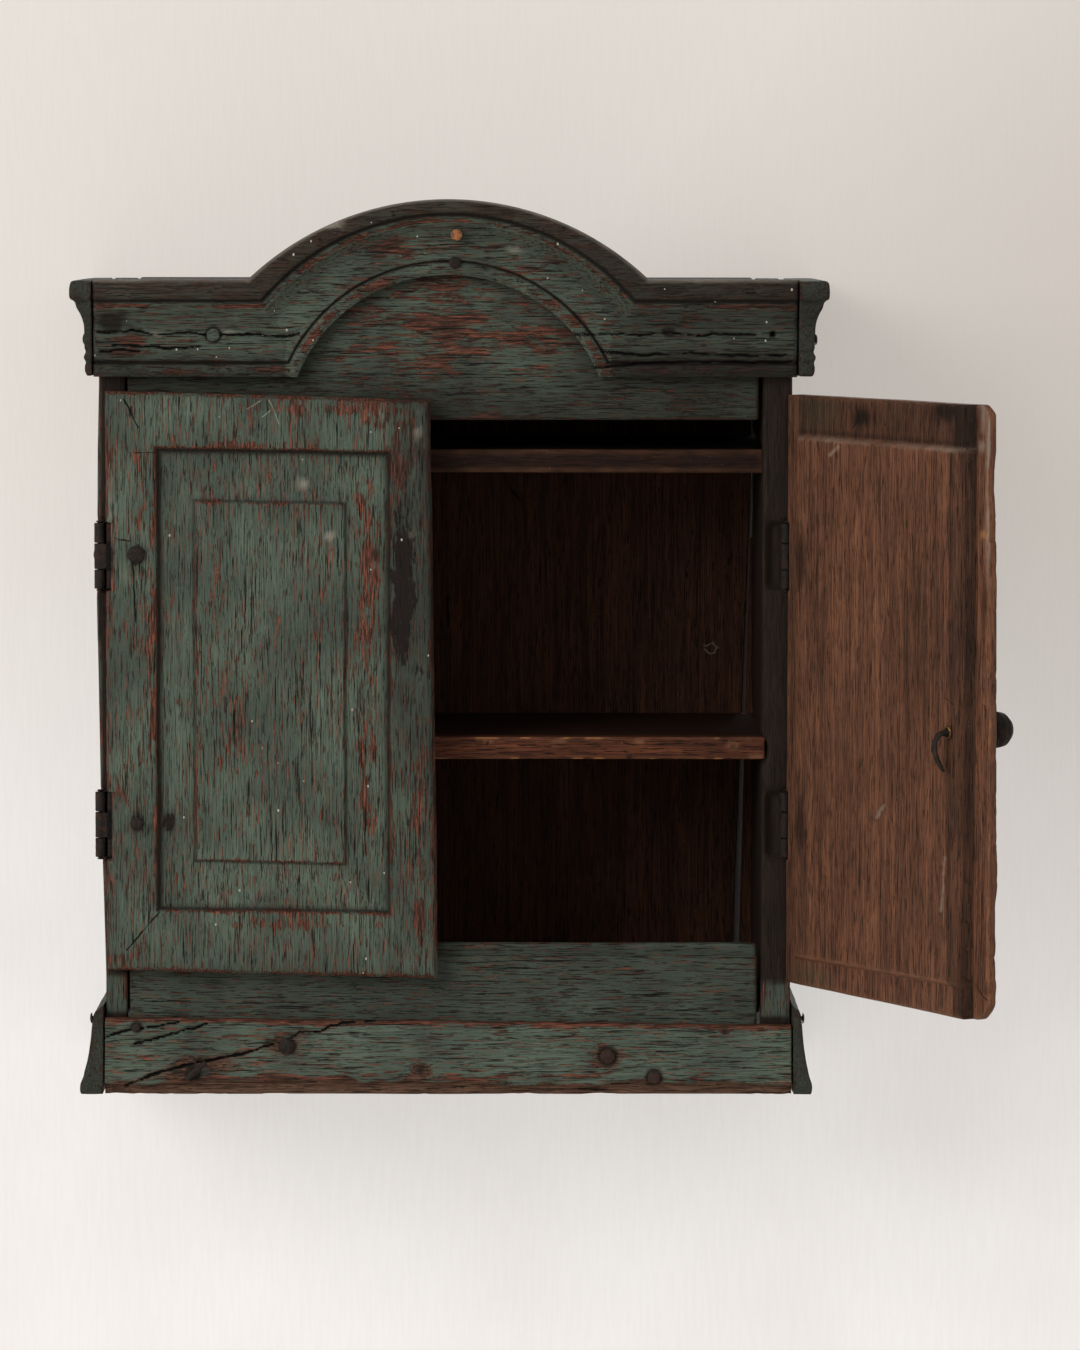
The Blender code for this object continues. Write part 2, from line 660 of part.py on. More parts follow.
def hinge_leaf(name, kind, inward, middle, frame, wood):
    """A leaf plate with its knuckles and the necks that join them, let into wood."""
    low, high = middle - HINGE_LENGTH / 2, middle + HINGE_LENGTH / 2
    plate = leaf_box(name, kind, inward, (PLATE_NEAR, LEAF_REACH[kind]), (low, high), 0)
    leaf = place(name, plate, WROUGHT_IRON, frame)
    for knuckle, (holder, start, end) in KNUCKLES.items():
        if holder != kind:
            continue
        z0, z1 = middle + start, middle + end
        neck_name = f"{name}_{knuckle}_neck"
        neck_ends = (z0 + NECK_INSET, z1 - NECK_INSET)
        neck = leaf_box(neck_name, kind, inward, (0, PLATE_NEAR + MM), neck_ends, -NECK_INSET)
        combine(leaf, place(neck_name, neck, None, frame), "UNION")
        barrel_name = f"{name}_{knuckle}_barrel"
        barrel = turned(barrel_name, [(BARREL_RADIUS, z0), (BARREL_RADIUS, z1)], 20)
        combine(leaf, place(barrel_name, barrel, None, frame), "UNION")
    bottom = (0, 0, low - MM)
    drill([leaf], name + "_bore", bottom, (0, 0, 1), PIN_RADIUS + FIT, HINGE_LENGTH + 2 * MM, frame)

    slot_name = name + "_slot"
    slot = leaf_box(
        slot_name, kind, inward, (0, LEAF_REACH[kind] + FIT), (low - FIT, high + FIT), FIT
    )
    combine(wood, place(slot_name, slot, None, frame), "DIFFERENCE")
    return leaf


def pin_profile():
    """A hinge pin with a hammered head at each end."""
    end = HINGE_LENGTH / 2 + FIT
    upper = [(PIN_RADIUS, end), (PIN_HEAD_RADIUS, end), (PIN_HEAD_RADIUS, end + PIN_HEAD_LENGTH)]
    return [(radius, -z) for radius, z in reversed(upper)] + upper


def rose_nail_profile(length, head_radius):
    return [
        (NAIL_RADIUS * 0.35, -length),
        (NAIL_RADIUS, -length * 0.75),
        (NAIL_RADIUS, FIT),
        (head_radius * 0.92, FIT),
        (head_radius, 1.2 * MM),
        (head_radius * 0.7, 2.6 * MM),
        (head_radius * 0.25, 3.1 * MM),
    ]


door_boards = {}
swings = {}
for side, door in DOORS.items():
    inward = door["inward"]
    frames = {}
    for kind in ("fixed", "door"):
        frame = bpy.data.objects.new(f"{side}_{kind}_hinge_line", None)
        frame.parent = cupboard
        frame.location = (-inward * door["axis"], FRONT - AXIS_FORWARD, 0)
        bpy.context.collection.objects.link(frame)
        frames[kind] = frame
    frames["door"].rotation_euler = (0, 0, -inward * door["open"])
    swings[side] = frames["door"]

    name = side + "_door"
    door_boards[side] = place(name, door_mesh(name, door), GREEN_PAINT, frames["door"])
    meeting_rebate(door_boards[side], door, frames["door"])
    for level, middle in HINGE_HEIGHTS.items():
        stem = f"{side}_{level}_hinge"
        low = middle - HINGE_LENGTH / 2 - NOTCH_MARGIN
        high = middle + HINGE_LENGTH / 2 + NOTCH_MARGIN
        outer = outer_face(side, middle)
        side_notch = local_box(
            stem + "_side_notch", inward,
            door["axis"] - outer - CLEAR, SIDE_NOTCH_REACH,
            AXIS_FORWARD - CLEAR, AXIS_FORWARD + SIDE_NOTCH_DEPTH, low, high,
        )
        side_cutter = place(stem + "_side_notch", side_notch, None, frames["fixed"])
        combine(sides[side], side_cutter, "DIFFERENCE")
        door_notch = local_box(
            stem + "_door_notch", inward, 0, door["slot"],
            DOOR_FACE - CLEAR, FIELD_BACK, low, high,
        )
        door_cutter = place(stem + "_door_notch", door_notch, None, frames["door"])
        combine(door_boards[side], door_cutter, "DIFFERENCE")

        fixed_leaf = hinge_leaf(
            stem + "_fixed_leaf", "fixed", inward, middle, frames["fixed"], sides[side]
        )
        door_leaf = hinge_leaf(
            stem + "_door_leaf", "door", inward, middle, frames["door"], door_boards[side]
        )
        pin = turned(stem + "_pin", pin_profile(), 14)
        pin_place = Matrix.Translation((0, 0, middle))
        smooth(place(stem + "_pin", pin, WROUGHT_IRON, frames["fixed"], pin_place))

        # The rose-headed nail through the door and its leaf
        length = BOARD_THICKNESS - 1.5 * MM
        point = (inward * DOOR_NAIL_REACH, DOOR_FACE, middle + DOOR_NAIL_LIFT)
        name = stem + "_door_nail"
        rose_nail = turned(name, rose_nail_profile(length, DOOR_NAIL_HEADS[level]), 12)
        nail_place = aim(point, (0, -1, 0))
        smooth(place(name, rose_nail, WROUGHT_IRON, frames["door"], nail_place))
        bore(
            [door_boards[side], door_leaf], name, point, (0, 1, 0),
            NAIL_RADIUS, length, frames["door"],
        )

        # The nail driven through the side board and its leaf
        head = LEFT_LOWER_NAIL_HEAD if (side, level) == ("left", "lower") else SIDE_NAIL_HEAD
        nail(
            stem + "_side_nail", [sides[side], fixed_leaf],
            (-inward * outer, FRONT + SIDE_NAIL_BACK, middle),
            (inward, 0, 0), SIDE_NAIL_LENGTH, (head, 2.4 * MM),
        )


# Turn latch: a knob on an iron spindle whose back end is bent into a hook
swing = swings["right"]
right = DOORS["right"]
latch_x = -(right["axis"] - right["edge"] + right["width"] - LATCH_FROM_EDGE)
latch_line = bpy.data.objects.new("latch_line", None)
latch_line.parent = swing
latch_line.location = (latch_x, 0, LATCH_HEIGHT)
bpy.context.collection.objects.link(latch_line)

knob_profile = [
    (KNOB_RADIUS * 0.42, 0.8 * MM),
    (KNOB_RADIUS * 0.36, KNOB_LENGTH * 0.3),
    (KNOB_RADIUS * 0.82, KNOB_LENGTH * 0.46),
    (KNOB_RADIUS, KNOB_LENGTH * 0.62),
    (KNOB_RADIUS * 0.93, KNOB_LENGTH * 0.8),
    (KNOB_RADIUS * 0.62, KNOB_LENGTH * 0.95),
    (KNOB_RADIUS * 0.2, KNOB_LENGTH),
]
knob = smooth(
    place(
        "latch_knob", turned("latch_knob", knob_profile, 24), WROUGHT_IRON, latch_line,
        aim((0, DOOR_FACE, 0), (0, -1, 0)),
    )
)
drill(
    [knob], "knob_socket", (0, DOOR_FACE, 0), (0, -1, 0),
    SPINDLE_RADIUS + FIT, KNOB_LENGTH * 0.6, latch_line,
)

collar = smooth(
    place(
        "latch_collar",
        turned("latch_collar", [(COLLAR_RADIUS, 0), (COLLAR_RADIUS * 0.9, COLLAR_LENGTH)], 18),
        BRASS, latch_line, aim((0, FIELD_BACK + FIT, 0), (0, 1, 0)),
    )
)
drill(
    [collar], "collar_bore", (0, FIELD_BACK - COLLAR_LENGTH, 0), (0, 1, 0),
    SPINDLE_RADIUS + FIT, 4 * COLLAR_LENGTH, latch_line,
)

hook_start = DOOR_FACE - KNOB_LENGTH * 0.45
stand = FIELD_BACK + FIT + COLLAR_LENGTH + FIT
hook_path = [
    (hook_start, 0),
    (stand, 0),
    (stand + HOOK_REACH * 0.55, -HOOK_DROP * 0.03),
    (stand + HOOK_REACH * 0.9, -HOOK_DROP * 0.2),
    (stand + HOOK_REACH * 0.95, -HOOK_DROP * 0.42),
    (stand + HOOK_REACH * 0.6, -HOOK_DROP * 0.72),
    (stand + HOOK_REACH * 0.18, -HOOK_DROP * 0.97),
]


def bar_sections(path):
    """Sections of a bar along (y, z) points: round at the spindle, flat in the hook."""
    sections = []
    steps = 12
    for i, (y, z) in enumerate(path):
        before = path[max(i - 1, 0)]
        after = path[min(i + 1, len(path) - 1)]
        along = Vector((0, after[0] - before[0], after[1] - before[1])).normalized()
        if i == 1:
            along = Vector((0, 1, 0))
        normal = along.cross(Vector((1, 0, 0)))
        flat = i > 1
        half_width = HOOK_WIDTH / 2 if flat else SPINDLE_RADIUS
        half_thickness = HOOK_THICKNESS / 2 if flat else SPINDLE_RADIUS
        if i == len(path) - 1:
            half_width *= 0.6
            half_thickness *= 0.6
        sections.append(
            [
                Vector((0, y, z))
                + Vector((1, 0, 0)) * half_width * math.cos(2 * math.pi * j / steps)
                + normal * half_thickness * math.sin(2 * math.pi * j / steps)
                for j in range(steps)
            ]
        )
    return sections


smooth(place("latch_hook", loft("latch_hook", bar_sections(hook_path)), WROUGHT_IRON, latch_line))
drill(
    [door_boards["right"]], "latch_bore", (latch_x, DOOR_FACE - CLEAR, LATCH_HEIGHT), (0, 1, 0),
    SPINDLE_RADIUS + 2 * FIT, FIELD_BACK - DOOR_FACE + 2 * CLEAR, swing,
)

# Pegs and nails of the cornice
peg_profile = [(0.8, -PEG_LENGTH), (1, -PEG_LENGTH * 0.8), (1, 1.2 * MM), (0.7, 2 * MM)]
for name, (x, up, radius, depth) in CORNICE_PEGS.items():
    point = (x, FRONT - depth, CORNICE_BOTTOM + up)
    mesh = turned(name, [(radius * share, z) for share, z in peg_profile], 14)
    material = PALE_PEG if name == "cornice_top_peg" else GREEN_PAINT
    smooth(place(name, mesh, material, cupboard, aim(point, (0, -1, 0))))
    bore([cornice_front, frieze_board], name, point, (0, 1, 0), radius, PEG_LENGTH)

x, up, depth = CORNICE_NAIL
nail(
    "cornice_nail", [cornice_front, frieze_board], (x, FRONT - depth, CORNICE_BOTTOM + up),
    (0, 1, 0), NAIL_LENGTH, (5 * MM, 2.4 * MM),
)
x, up, depth = CORNICE_EMPTY_HOLE
bore(
    [cornice_front, frieze_board], "cornice_empty", (x, FRONT - depth, CORNICE_BOTTOM + up),
    (0, 1, 0), CORNICE_HOLE_RADIUS, CORNICE_HOLE_LENGTH,
)


# Nails of the base's front board
def projection_at(profile, height):
    for (low, near), (high, far) in zip(profile, profile[1:]):
        if height <= high:
            break
    return near + (far - near) * (height - low) / (high - low)


for name, (x, height, head_radius, head_height) in BASE_NAILS.items():
    point = (x, FRONT - projection_at(base_front_profile, height), height)
    material = RUSTY_IRON if name in ("base_nail_rusty", "base_nail_low") else WROUGHT_IRON
    nail(
        name, [base_front, bottom_rail], point, (0, 1, 0), NAIL_LENGTH,
        (head_radius, head_height), material,
    )

bent_x, bent_z = BENT_NAIL_PLACE
bent_face = FRONT - projection_at(base_front_profile, bent_z)
bent_curve = bpy.data.curves.new("base_nail_bent", "CURVE")
bent_curve.dimensions = "3D"
bent_curve.bevel_depth = BENT_RADIUS
bent_curve.bevel_resolution = 2
bent_curve.use_fill_caps = True
spline = bent_curve.splines.new("POLY")
bent_path = [
    (bent_x, FRONT + RAIL_THICKNESS * 0.8, bent_z),
    (bent_x, bent_face - 1.5 * MM, bent_z),
    (bent_x + 1.5 * MM, bent_face - 3.6 * MM, bent_z + 1.2 * MM),
    (bent_x + 14 * MM, bent_face - 3.4 * MM, bent_z + 12 * MM),
]
spline.points.add(len(bent_path) - 1)
for control, point in zip(spline.points, bent_path):
    control.co = (*point, 1)
place("base_nail_bent", bent_curve, RUSTY_IRON)
bore(
    [base_front, bottom_rail], "base_nail_bent", (bent_x, bent_face, bent_z), (0, 1, 0),
    BENT_RADIUS, BENT_NAIL_LENGTH,
)

# Nails that hold the returns and the back boards
return_nails = (
    ("cornice", cornice_returns, RETURN_PROFILE, CORNICE_BOTTOM, CORNICE_ROOTS, {}),
    ("base", base_returns, BASE_PROFILE + RETURN_TOP, 0, BASE_JOINTS, BASE_SPREAD),
)
for stem, returns, profile, bottom, roots, spread in return_nails:
    height = RETURN_NAIL_UP[stem]
    for side, sign in (("left", -1), ("right", 1)):
        name = f"{stem}_{side}_return_nail"
        face = roots[side] + projection_at(profile, height) * spread.get(side, 1.0)
        point = (sign * face, FRONT + SIDE_NAIL_BACK, bottom + height)
        length = face - abs(INNER[side]) - 5 * MM
        inward = (-sign, 0, 0)
        nail(name, [returns[side], sides[side]], point, inward, length, RETURN_NAIL_HEAD)

for side, piece in (("left", back_left), ("right", back_right)):
    x = BACK_NAIL_X[side]
    for end, height, target in (
        ("foot", BACK_BOTTOM + BOTTOM_THICKNESS / 2, bottom_board),
        ("head", SIDE_TOP - TOP_THICKNESS / 2, top_board),
    ):
        name = f"{piece.name}_{end}_nail"
        profile = [
            (0.4 * NAIL_RADIUS, -BACK_NAIL_LENGTH),
            (NAIL_RADIUS, -BACK_NAIL_LENGTH * 0.75),
            (NAIL_RADIUS, -1.6 * MM),
            (BACK_NAIL_HEAD, -1.4 * MM),
            (BACK_NAIL_HEAD, -FIT),
        ]
        mesh = turned(name, profile, 12)
        smooth(place(name, mesh, RUSTY_IRON, cupboard, aim((x, 0, height), (0, 1, 0))))
        behind = (x, CLEAR, height)
        drill(
            [piece], name + "_sink", behind, (0, -1, 0), BACK_NAIL_HEAD + FIT, CLEAR + 1.7 * MM
        )
        drill(
            [piece, target], name + "_hole", behind, (0, -1, 0),
            NAIL_RADIUS + FIT, CLEAR + BACK_NAIL_LENGTH + FIT,
        )
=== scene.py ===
# %% [markdown]
# # An old painted wall cupboard
# The cupboard hangs on a wall with its left door shut and its right door open. Its boards
# were planed and carved by hand, painted red-brown and then grey-green, and two centuries
# of use have rounded every arris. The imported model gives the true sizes; this script
# gives the boards their carved, cracked and uneven faces, and every piece its finish.

import json
import math

import bmesh
import bpy
import numpy as np
from mathutils import Matrix, Vector

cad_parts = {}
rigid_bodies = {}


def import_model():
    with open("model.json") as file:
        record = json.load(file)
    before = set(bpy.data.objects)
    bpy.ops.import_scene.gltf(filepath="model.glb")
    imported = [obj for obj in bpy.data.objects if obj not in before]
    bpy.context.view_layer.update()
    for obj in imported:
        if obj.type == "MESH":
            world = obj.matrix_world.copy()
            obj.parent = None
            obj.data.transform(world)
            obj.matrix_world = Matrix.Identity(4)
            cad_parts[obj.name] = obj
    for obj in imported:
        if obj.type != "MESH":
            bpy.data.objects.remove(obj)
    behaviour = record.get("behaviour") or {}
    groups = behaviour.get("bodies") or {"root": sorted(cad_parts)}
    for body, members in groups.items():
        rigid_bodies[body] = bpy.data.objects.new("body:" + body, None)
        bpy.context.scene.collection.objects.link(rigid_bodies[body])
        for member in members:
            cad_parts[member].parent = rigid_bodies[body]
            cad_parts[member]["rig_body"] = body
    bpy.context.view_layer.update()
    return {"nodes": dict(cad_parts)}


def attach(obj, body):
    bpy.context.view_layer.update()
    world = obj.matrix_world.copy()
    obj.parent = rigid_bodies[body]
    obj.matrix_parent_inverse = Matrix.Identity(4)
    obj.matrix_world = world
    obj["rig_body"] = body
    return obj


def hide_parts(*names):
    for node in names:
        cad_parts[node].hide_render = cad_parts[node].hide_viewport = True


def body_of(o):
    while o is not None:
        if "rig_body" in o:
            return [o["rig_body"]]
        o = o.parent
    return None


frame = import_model()
NODES = frame["nodes"]
MM = 0.001
FLOOR_OF_BASE = -0.3  # the underside of the base, in the model's own height

# %% [markdown]
# ## The camera
# The photograph was taken from about six metres away with a long lens, a little above
# the cupboard's middle and looking slightly down. A long lens keeps upright lines nearly
# parallel. The camera comes first, because marks such as stains and cracks are placed by
# the point of the photograph that shows them, thrown back onto the board's plane.

# %% Place the camera
EYE = Vector((0.0445, -5.8018, 0.4832))
PITCH = math.radians(4.8328)
YAW = math.radians(0.2413)
ROLL = math.radians(0.056)
IMAGE = (1080, 1350)
FOCAL = 7527.68  # focal length in pixels of that image
SENSOR = 36.0

camera_data = bpy.data.cameras.new("camera")
camera_data.sensor_width = SENSOR
camera_data.lens = FOCAL / IMAGE[1] * SENSOR
camera = bpy.data.objects.new("camera", camera_data)
bpy.context.scene.collection.objects.link(camera)
bpy.context.scene.camera = camera
forward = Vector(
    (math.sin(YAW) * math.cos(PITCH), math.cos(YAW) * math.cos(PITCH), -math.sin(PITCH))
)
aim = forward.to_track_quat("-Z", "Y").to_matrix() @ Matrix.Rotation(ROLL, 3, "Z")
camera.matrix_world = Matrix.Translation(EYE) @ aim.to_4x4()
print("lens in mm:", round(camera_data.lens, 1))


def seen_at(across, down, point, normal=(0, 1, 0)):
    """Where a pixel of the photograph meets the plane through point."""
    ray = aim @ Vector(((across - IMAGE[0] / 2) / FOCAL, (IMAGE[1] / 2 - down) / FOCAL, -1))
    reach = (Vector(point) - EYE).dot(normal) / ray.dot(normal)
    return EYE + ray * reach


# %% [markdown]
# ## Uneven surfaces
# Hand-planed boards are never flat, and old edges never straight. A smooth random field
# gives both: random values on a lattice, blended in between. Stretching the lattice along
# the grain turns the same field into the ridges that worn softwood shows.

# %% A smooth random field
def unevenness(points, size, seed):
    """Smooth random values from -1 to 1 at (n, 3) points, varying over size metres."""
    place = np.asarray(points, float) / np.asarray(size, float)
    cell = np.floor(place).astype(np.int64)
    share = place - cell
    share = share * share * (3 - 2 * share)
    total = np.zeros(len(place))
    for corner in range(8):
        step = np.array([corner & 1, corner >> 1 & 1, corner >> 2 & 1])
        key = (cell + step) * np.array([73856093, 19349663, 83492791])
        mixed = (key[:, 0] ^ key[:, 1] ^ key[:, 2] ^ (seed * 40503)) & 0x7FFFFFFF
        mixed = (mixed ^ (mixed >> 13)) * 1274126177 & 0x7FFFFFFF
        mixed = (mixed ^ (mixed >> 16)) & 0xFFFF
        weight = np.prod(np.where(step, share, 1 - share), axis=1)
        total += (mixed / 32767.5 - 1) * weight
    return total


def wander(values, size, seed, amount):
    """A line's sideways wander, in metres, along the values of its own direction."""
    flat = np.asarray(values, float)
    points = np.stack([flat.ravel(), np.full(flat.size, 0.37), np.full(flat.size, 0.11)], 1)
    fine = unevenness(points, size, seed) + 0.45 * unevenness(points, size * 0.31, seed + 7)
    return amount * fine.reshape(flat.shape)


def ease(values, low, high):
    """A smooth step from 0 at low to 1 at high."""
    t = np.clip((values - low) / (high - low), 0, 1)
    return t * t * (3 - 2 * t)


def spot(a, b, centre, half):
    """A soft oval patch round centre, 1 in the middle, of half width and half height."""
    return np.exp(-(((a - centre[0]) / half[0]) ** 2) - ((b - centre[1]) / half[1]) ** 2)


print("random field at three points:", unevenness([(0, 0, 0), (0.4, 0, 0), (0, 0.9, 0)], 1, 3))

# %% [markdown]
# ## A board as a grid of its own lines
# A carved board has edges that wander but stay crisp. A plain grid would cut across them,
# so here the grid is laid between guide lines that follow the board's outline and its
# carving, closer together beside each guide. Front and back are two heights over the same
# grid, and a wall round the outline closes the solid.

# %% Lay a grid between guide lines
def line_places(nominal, near, step):
    """(strip, share) of each grid line between guides whose rough places are nominal."""
    places = []
    last = len(nominal) - 2
    for i in range(last + 1):
        length = nominal[i + 1] - nominal[i]
        marks = [d for d in near if d < length * 0.4]
        inner = marks[-1] if marks else 0.0
        count = max(1, round((length - 2 * inner) / step))
        between = [inner + (length - 2 * inner) * k / count for k in range(count + 1)]
        edge = [0.0] + marks[:-1] if marks else []
        far = [length - d for d in reversed(edge)]
        distances = edge + between + far
        if i < last:
            distances = distances[:-1]
        places += [(i, d / length) for d in distances]
    return places


def follow(guides, places, other, columns):
    """Positions of the grid lines, at every value of the other direction."""
    lines = [guide(other) for guide in guides]
    result = np.empty(other.shape)
    for j, (strip, share) in enumerate(places):
        pick = (slice(None), j) if columns else (j, slice(None))
        result[pick] = lines[strip][pick] * (1 - share) + lines[strip + 1][pick] * share
    return result


NEAR = (0.4 * MM, 0.9 * MM, 1.6 * MM, 2.6 * MM)


def lay_grid(across, up, middle, near=NEAR, step=2.6 * MM):
    """Arrays (a, b) of a grid; across are functions of b, and up are functions of a."""
    rough_a = [float(guide(np.array([middle[1]]))[0]) for guide in across]
    rough_b = [float(guide(np.array([middle[0]]))[0]) for guide in up]
    places_a = line_places(rough_a, near, step)
    places_b = line_places(rough_b, near, step)
    start = [rough_b[i] + (rough_b[i + 1] - rough_b[i]) * s for i, s in places_b]
    b = np.repeat(np.array(start)[:, None], len(places_a), axis=1)
    for _ in range(3):
        a = follow(across, places_a, b, True)
        b = follow(up, places_b, a, False)
    return a, b


def board_mesh(name, a, b, front, back, place, wall_rows=3):
    """A closed board over a grid. It returns the mesh and each vertex's a, b and side.

    The side is -1 on the front, 1 on the back and 0 on the walls. The faces come in the
    order front, back, walls, and the mesh keeps how many of each there are.
    """
    rows, columns = a.shape
    count = rows * columns
    index = np.arange(count).reshape(rows, columns)
    quads = np.stack(
        [index[:-1, :-1], index[:-1, 1:], index[1:, 1:], index[1:, :-1]], -1
    ).reshape(-1, 4)
    rim = np.concatenate([index[0, :-1], index[:-1, -1], index[-1, :0:-1], index[:0:-1, 0]])
    flat_a, flat_b = a.ravel(), b.ravel()
    flat_front, flat_back = front.ravel(), back.ravel()
    parts = [(flat_a, flat_front, flat_b), (flat_a, flat_back, flat_b)]
    sides = [np.full(count, -1.0), np.full(count, 1.0)]
    loops = [rim]
    for row in range(1, wall_rows + 1):
        t = row / (wall_rows + 1)
        depth = flat_front[rim] * (1 - t) + flat_back[rim] * t
        parts.append((flat_a[rim], depth, flat_b[rim]))
        sides.append(np.zeros(len(rim)))
        loops.append(2 * count + (row - 1) * len(rim) + np.arange(len(rim)))
    loops.append(rim + count)
    walls = []
    for upper, lower in zip(loops, loops[1:]):
        walls.append(
            np.stack([np.roll(upper, -1), upper, lower, np.roll(lower, -1)], -1)
        )
    all_a, all_y, all_b = (np.concatenate(values) for values in zip(*parts))
    vertices = place(all_a, all_y, all_b)
    faces = np.concatenate([quads, quads[:, ::-1] + count, *walls])
    mesh = bpy.data.meshes.new(name)
    mesh.from_pydata(vertices.tolist(), [], faces.tolist())
    mesh.shade_smooth()
    mesh["front_faces"] = len(quads)
    return mesh, all_a, all_b, np.concatenate(sides)


def keep(mesh, **values):
    """Stores one number a vertex under each name, for the materials to read."""
    for name, numbers in values.items():
        layer = mesh.attributes.new(name, "FLOAT", "POINT")
        layer.data.foreach_set("value", np.clip(numbers, 0, 1).astype(np.float32))


def stand_for(mesh, name, *nodes):
    """Puts a mesh in the scene in place of CAD nodes, on the body that carries them."""
    piece = bpy.data.objects.new(name, mesh)
    bpy.context.scene.collection.objects.link(piece)
    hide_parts(*nodes)
    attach(piece, body_of(NODES[nodes[0]])[0])
    return piece


# %% [markdown]
# ## Nodes for the finishes
# Every finish here is procedural: noise stretched along the grain for pores and flaked
# paint, broad noise for fading, and the numbers kept on the vertices for worn arrises and
# for corners darkened with grime and painted shade. Patterns read object coordinates in
# metres, so a size in millimetres turns straight into a scale. One function adds a node
# with its settings and its links.

# %% Node helpers
def linear(colour):
    """An sRGB hex value as linear red, green, blue and full opacity."""
    channels = [int(colour[i : i + 2], 16) / 255 for i in (1, 3, 5)]
    return (*[c / 12.92 if c <= 0.04045 else ((c + 0.055) / 1.055) ** 2.4 for c in channels], 1)


def add(tree, kind, inputs, **settings):
    """Adds a node; inputs maps each socket to a value or to the socket that feeds it."""
    node = tree.nodes.new(kind)
    for name, value in settings.items():
        setattr(node, name, value)
    for key, value in inputs.items():
        if isinstance(value, bpy.types.NodeSocket):
            tree.links.new(value, node.inputs[key])
        else:
            node.inputs[key].default_value = value
    return node


def pattern(tree, place, size, seed, low, high, detail=3.0):
    """Noise of a real size in mm on x, y and z, as a mask from 0 at low to 1 at high."""
    stretched = add(
        tree, "ShaderNodeVectorMath",
        {0: place, 1: [1 / (s * MM) for s in size], 2: (seed * 7.3, seed * 3.1, seed * 5.7)},
        operation="MULTIPLY_ADD",
    )
    noise = add(
        tree, "ShaderNodeTexNoise",
        {"Vector": stretched.outputs[0], "Scale": 1.0, "Detail": detail, "Roughness": 0.6},
    )
    mask = add(
        tree, "ShaderNodeMapRange",
        {0: noise.outputs[0], 1: low, 2: high, 3: 0.0, 4: 1.0},
        interpolation_type="SMOOTHSTEP",
    )
    return mask.outputs[0]


def grain_size(grain, width, length):
    """Sizes on x, y and z of a streak that runs along the grain's axis."""
    return [length if axis == grain else width for axis in "xyz"]


def coats(tree, ground, layers):
    """Lays colours over a ground, each one where its mask is 1."""
    for mask, colour in layers:
        coat = add(tree, "ShaderNodeMix", {0: mask, 6: ground, 7: colour}, data_type="RGBA")
        ground = coat.outputs[2]
    return ground


def weighed(tree, parts, start=0.0):
    """The sum of masks, each times its weight."""
    total = start
    for mask, weight in parts:
        total = add(
            tree, "ShaderNodeMath", {0: mask, 1: weight, 2: total}, operation="MULTIPLY_ADD"
        ).outputs[0]
    return total


def scored(tree, place, paths, width, seed, jag=0.9):
    """A mask of jagged lines along paths of (x, y, z) points, width in mm."""
    shake = add(
        tree, "ShaderNodeTexNoise", {"Vector": place, "Scale": 1 / (5 * MM), "Detail": 3.0}
    )
    offset = add(
        tree, "ShaderNodeVectorMath",
        {0: shake.outputs[1], 1: (2 * jag * MM,) * 3, 2: (-jag * MM,) * 3},
        operation="MULTIPLY_ADD",
    )
    moved = add(tree, "ShaderNodeVectorMath", {0: place, 1: offset.outputs[0]}, operation="ADD")
    here = add(
        tree, "ShaderNodeVectorMath", {0: moved.outputs[0], 1: (1, 0.4, 1)}, operation="MULTIPLY"
    )  # depth counts for less, so a mark goes into the wood but not through the board
    nearest = 1.0
    for path in paths:
        flat = [Vector((x, 0.4 * y, z)) for x, y, z in path]
        for start, end in zip(flat, flat[1:]):
            run = end - start
            away = add(
                tree, "ShaderNodeVectorMath", {0: here.outputs[0], 1: start}, operation="SUBTRACT"
            )
            reach = add(
                tree, "ShaderNodeVectorMath",
                {0: away.outputs[0], 1: run / run.length_squared}, operation="DOT_PRODUCT",
            )
            share = add(
                tree, "ShaderNodeMath", {0: reach.outputs["Value"], 1: 1.0},
                operation="MULTIPLY", use_clamp=True,
            )
            foot = add(
                tree, "ShaderNodeVectorMath", {0: run, "Scale": share.outputs[0]},
                operation="SCALE",
            )
            gap = add(
                tree, "ShaderNodeVectorMath", {0: away.outputs[0], 1: foot.outputs[0]},
                operation="DISTANCE",
            )
            nearest = add(
                tree, "ShaderNodeMath", {0: gap.outputs["Value"], 1: nearest},
                operation="MINIMUM",
            ).outputs[0]
    swell = pattern(tree, place, (9, 9, 9), seed, 0.25, 0.7, 1.0)
    half = weighed(tree, [(swell, width * 0.75 * MM)], width * 0.2 * MM)
    mask = add(
        tree, "ShaderNodeMapRange", {0: nearest, 1: 0.0, 2: half, 3: 1.0, 4: 0.0},
        interpolation_type="SMOOTHSTEP",
    )
    return mask.outputs[0]


def new_material(name, roughness):
    """A material with its tree, its shader and the piece's own place."""
    material = bpy.data.materials.new(name)
    material.use_nodes = True
    tree = material.node_tree
    shader = tree.nodes["Principled BSDF"]
    shader.inputs["Roughness"].default_value = roughness
    place = add(tree, "ShaderNodeTexCoord", {}).outputs["Object"]
    return material, tree, shader, place


def kept(tree, name):
    return add(tree, "ShaderNodeAttribute", {}, attribute_name=name).outputs["Fac"]


def finish_off(tree, shader, colour, height, depth):
    """Feeds a shader its colour, and a relief of depth in mm."""
    tree.links.new(colour, shader.inputs["Base Color"])
    bump = add(tree, "ShaderNodeBump", {"Strength": 1.0, "Distance": depth * MM, "Height": height})
    tree.links.new(bump.outputs[0], shader.inputs["Normal"])


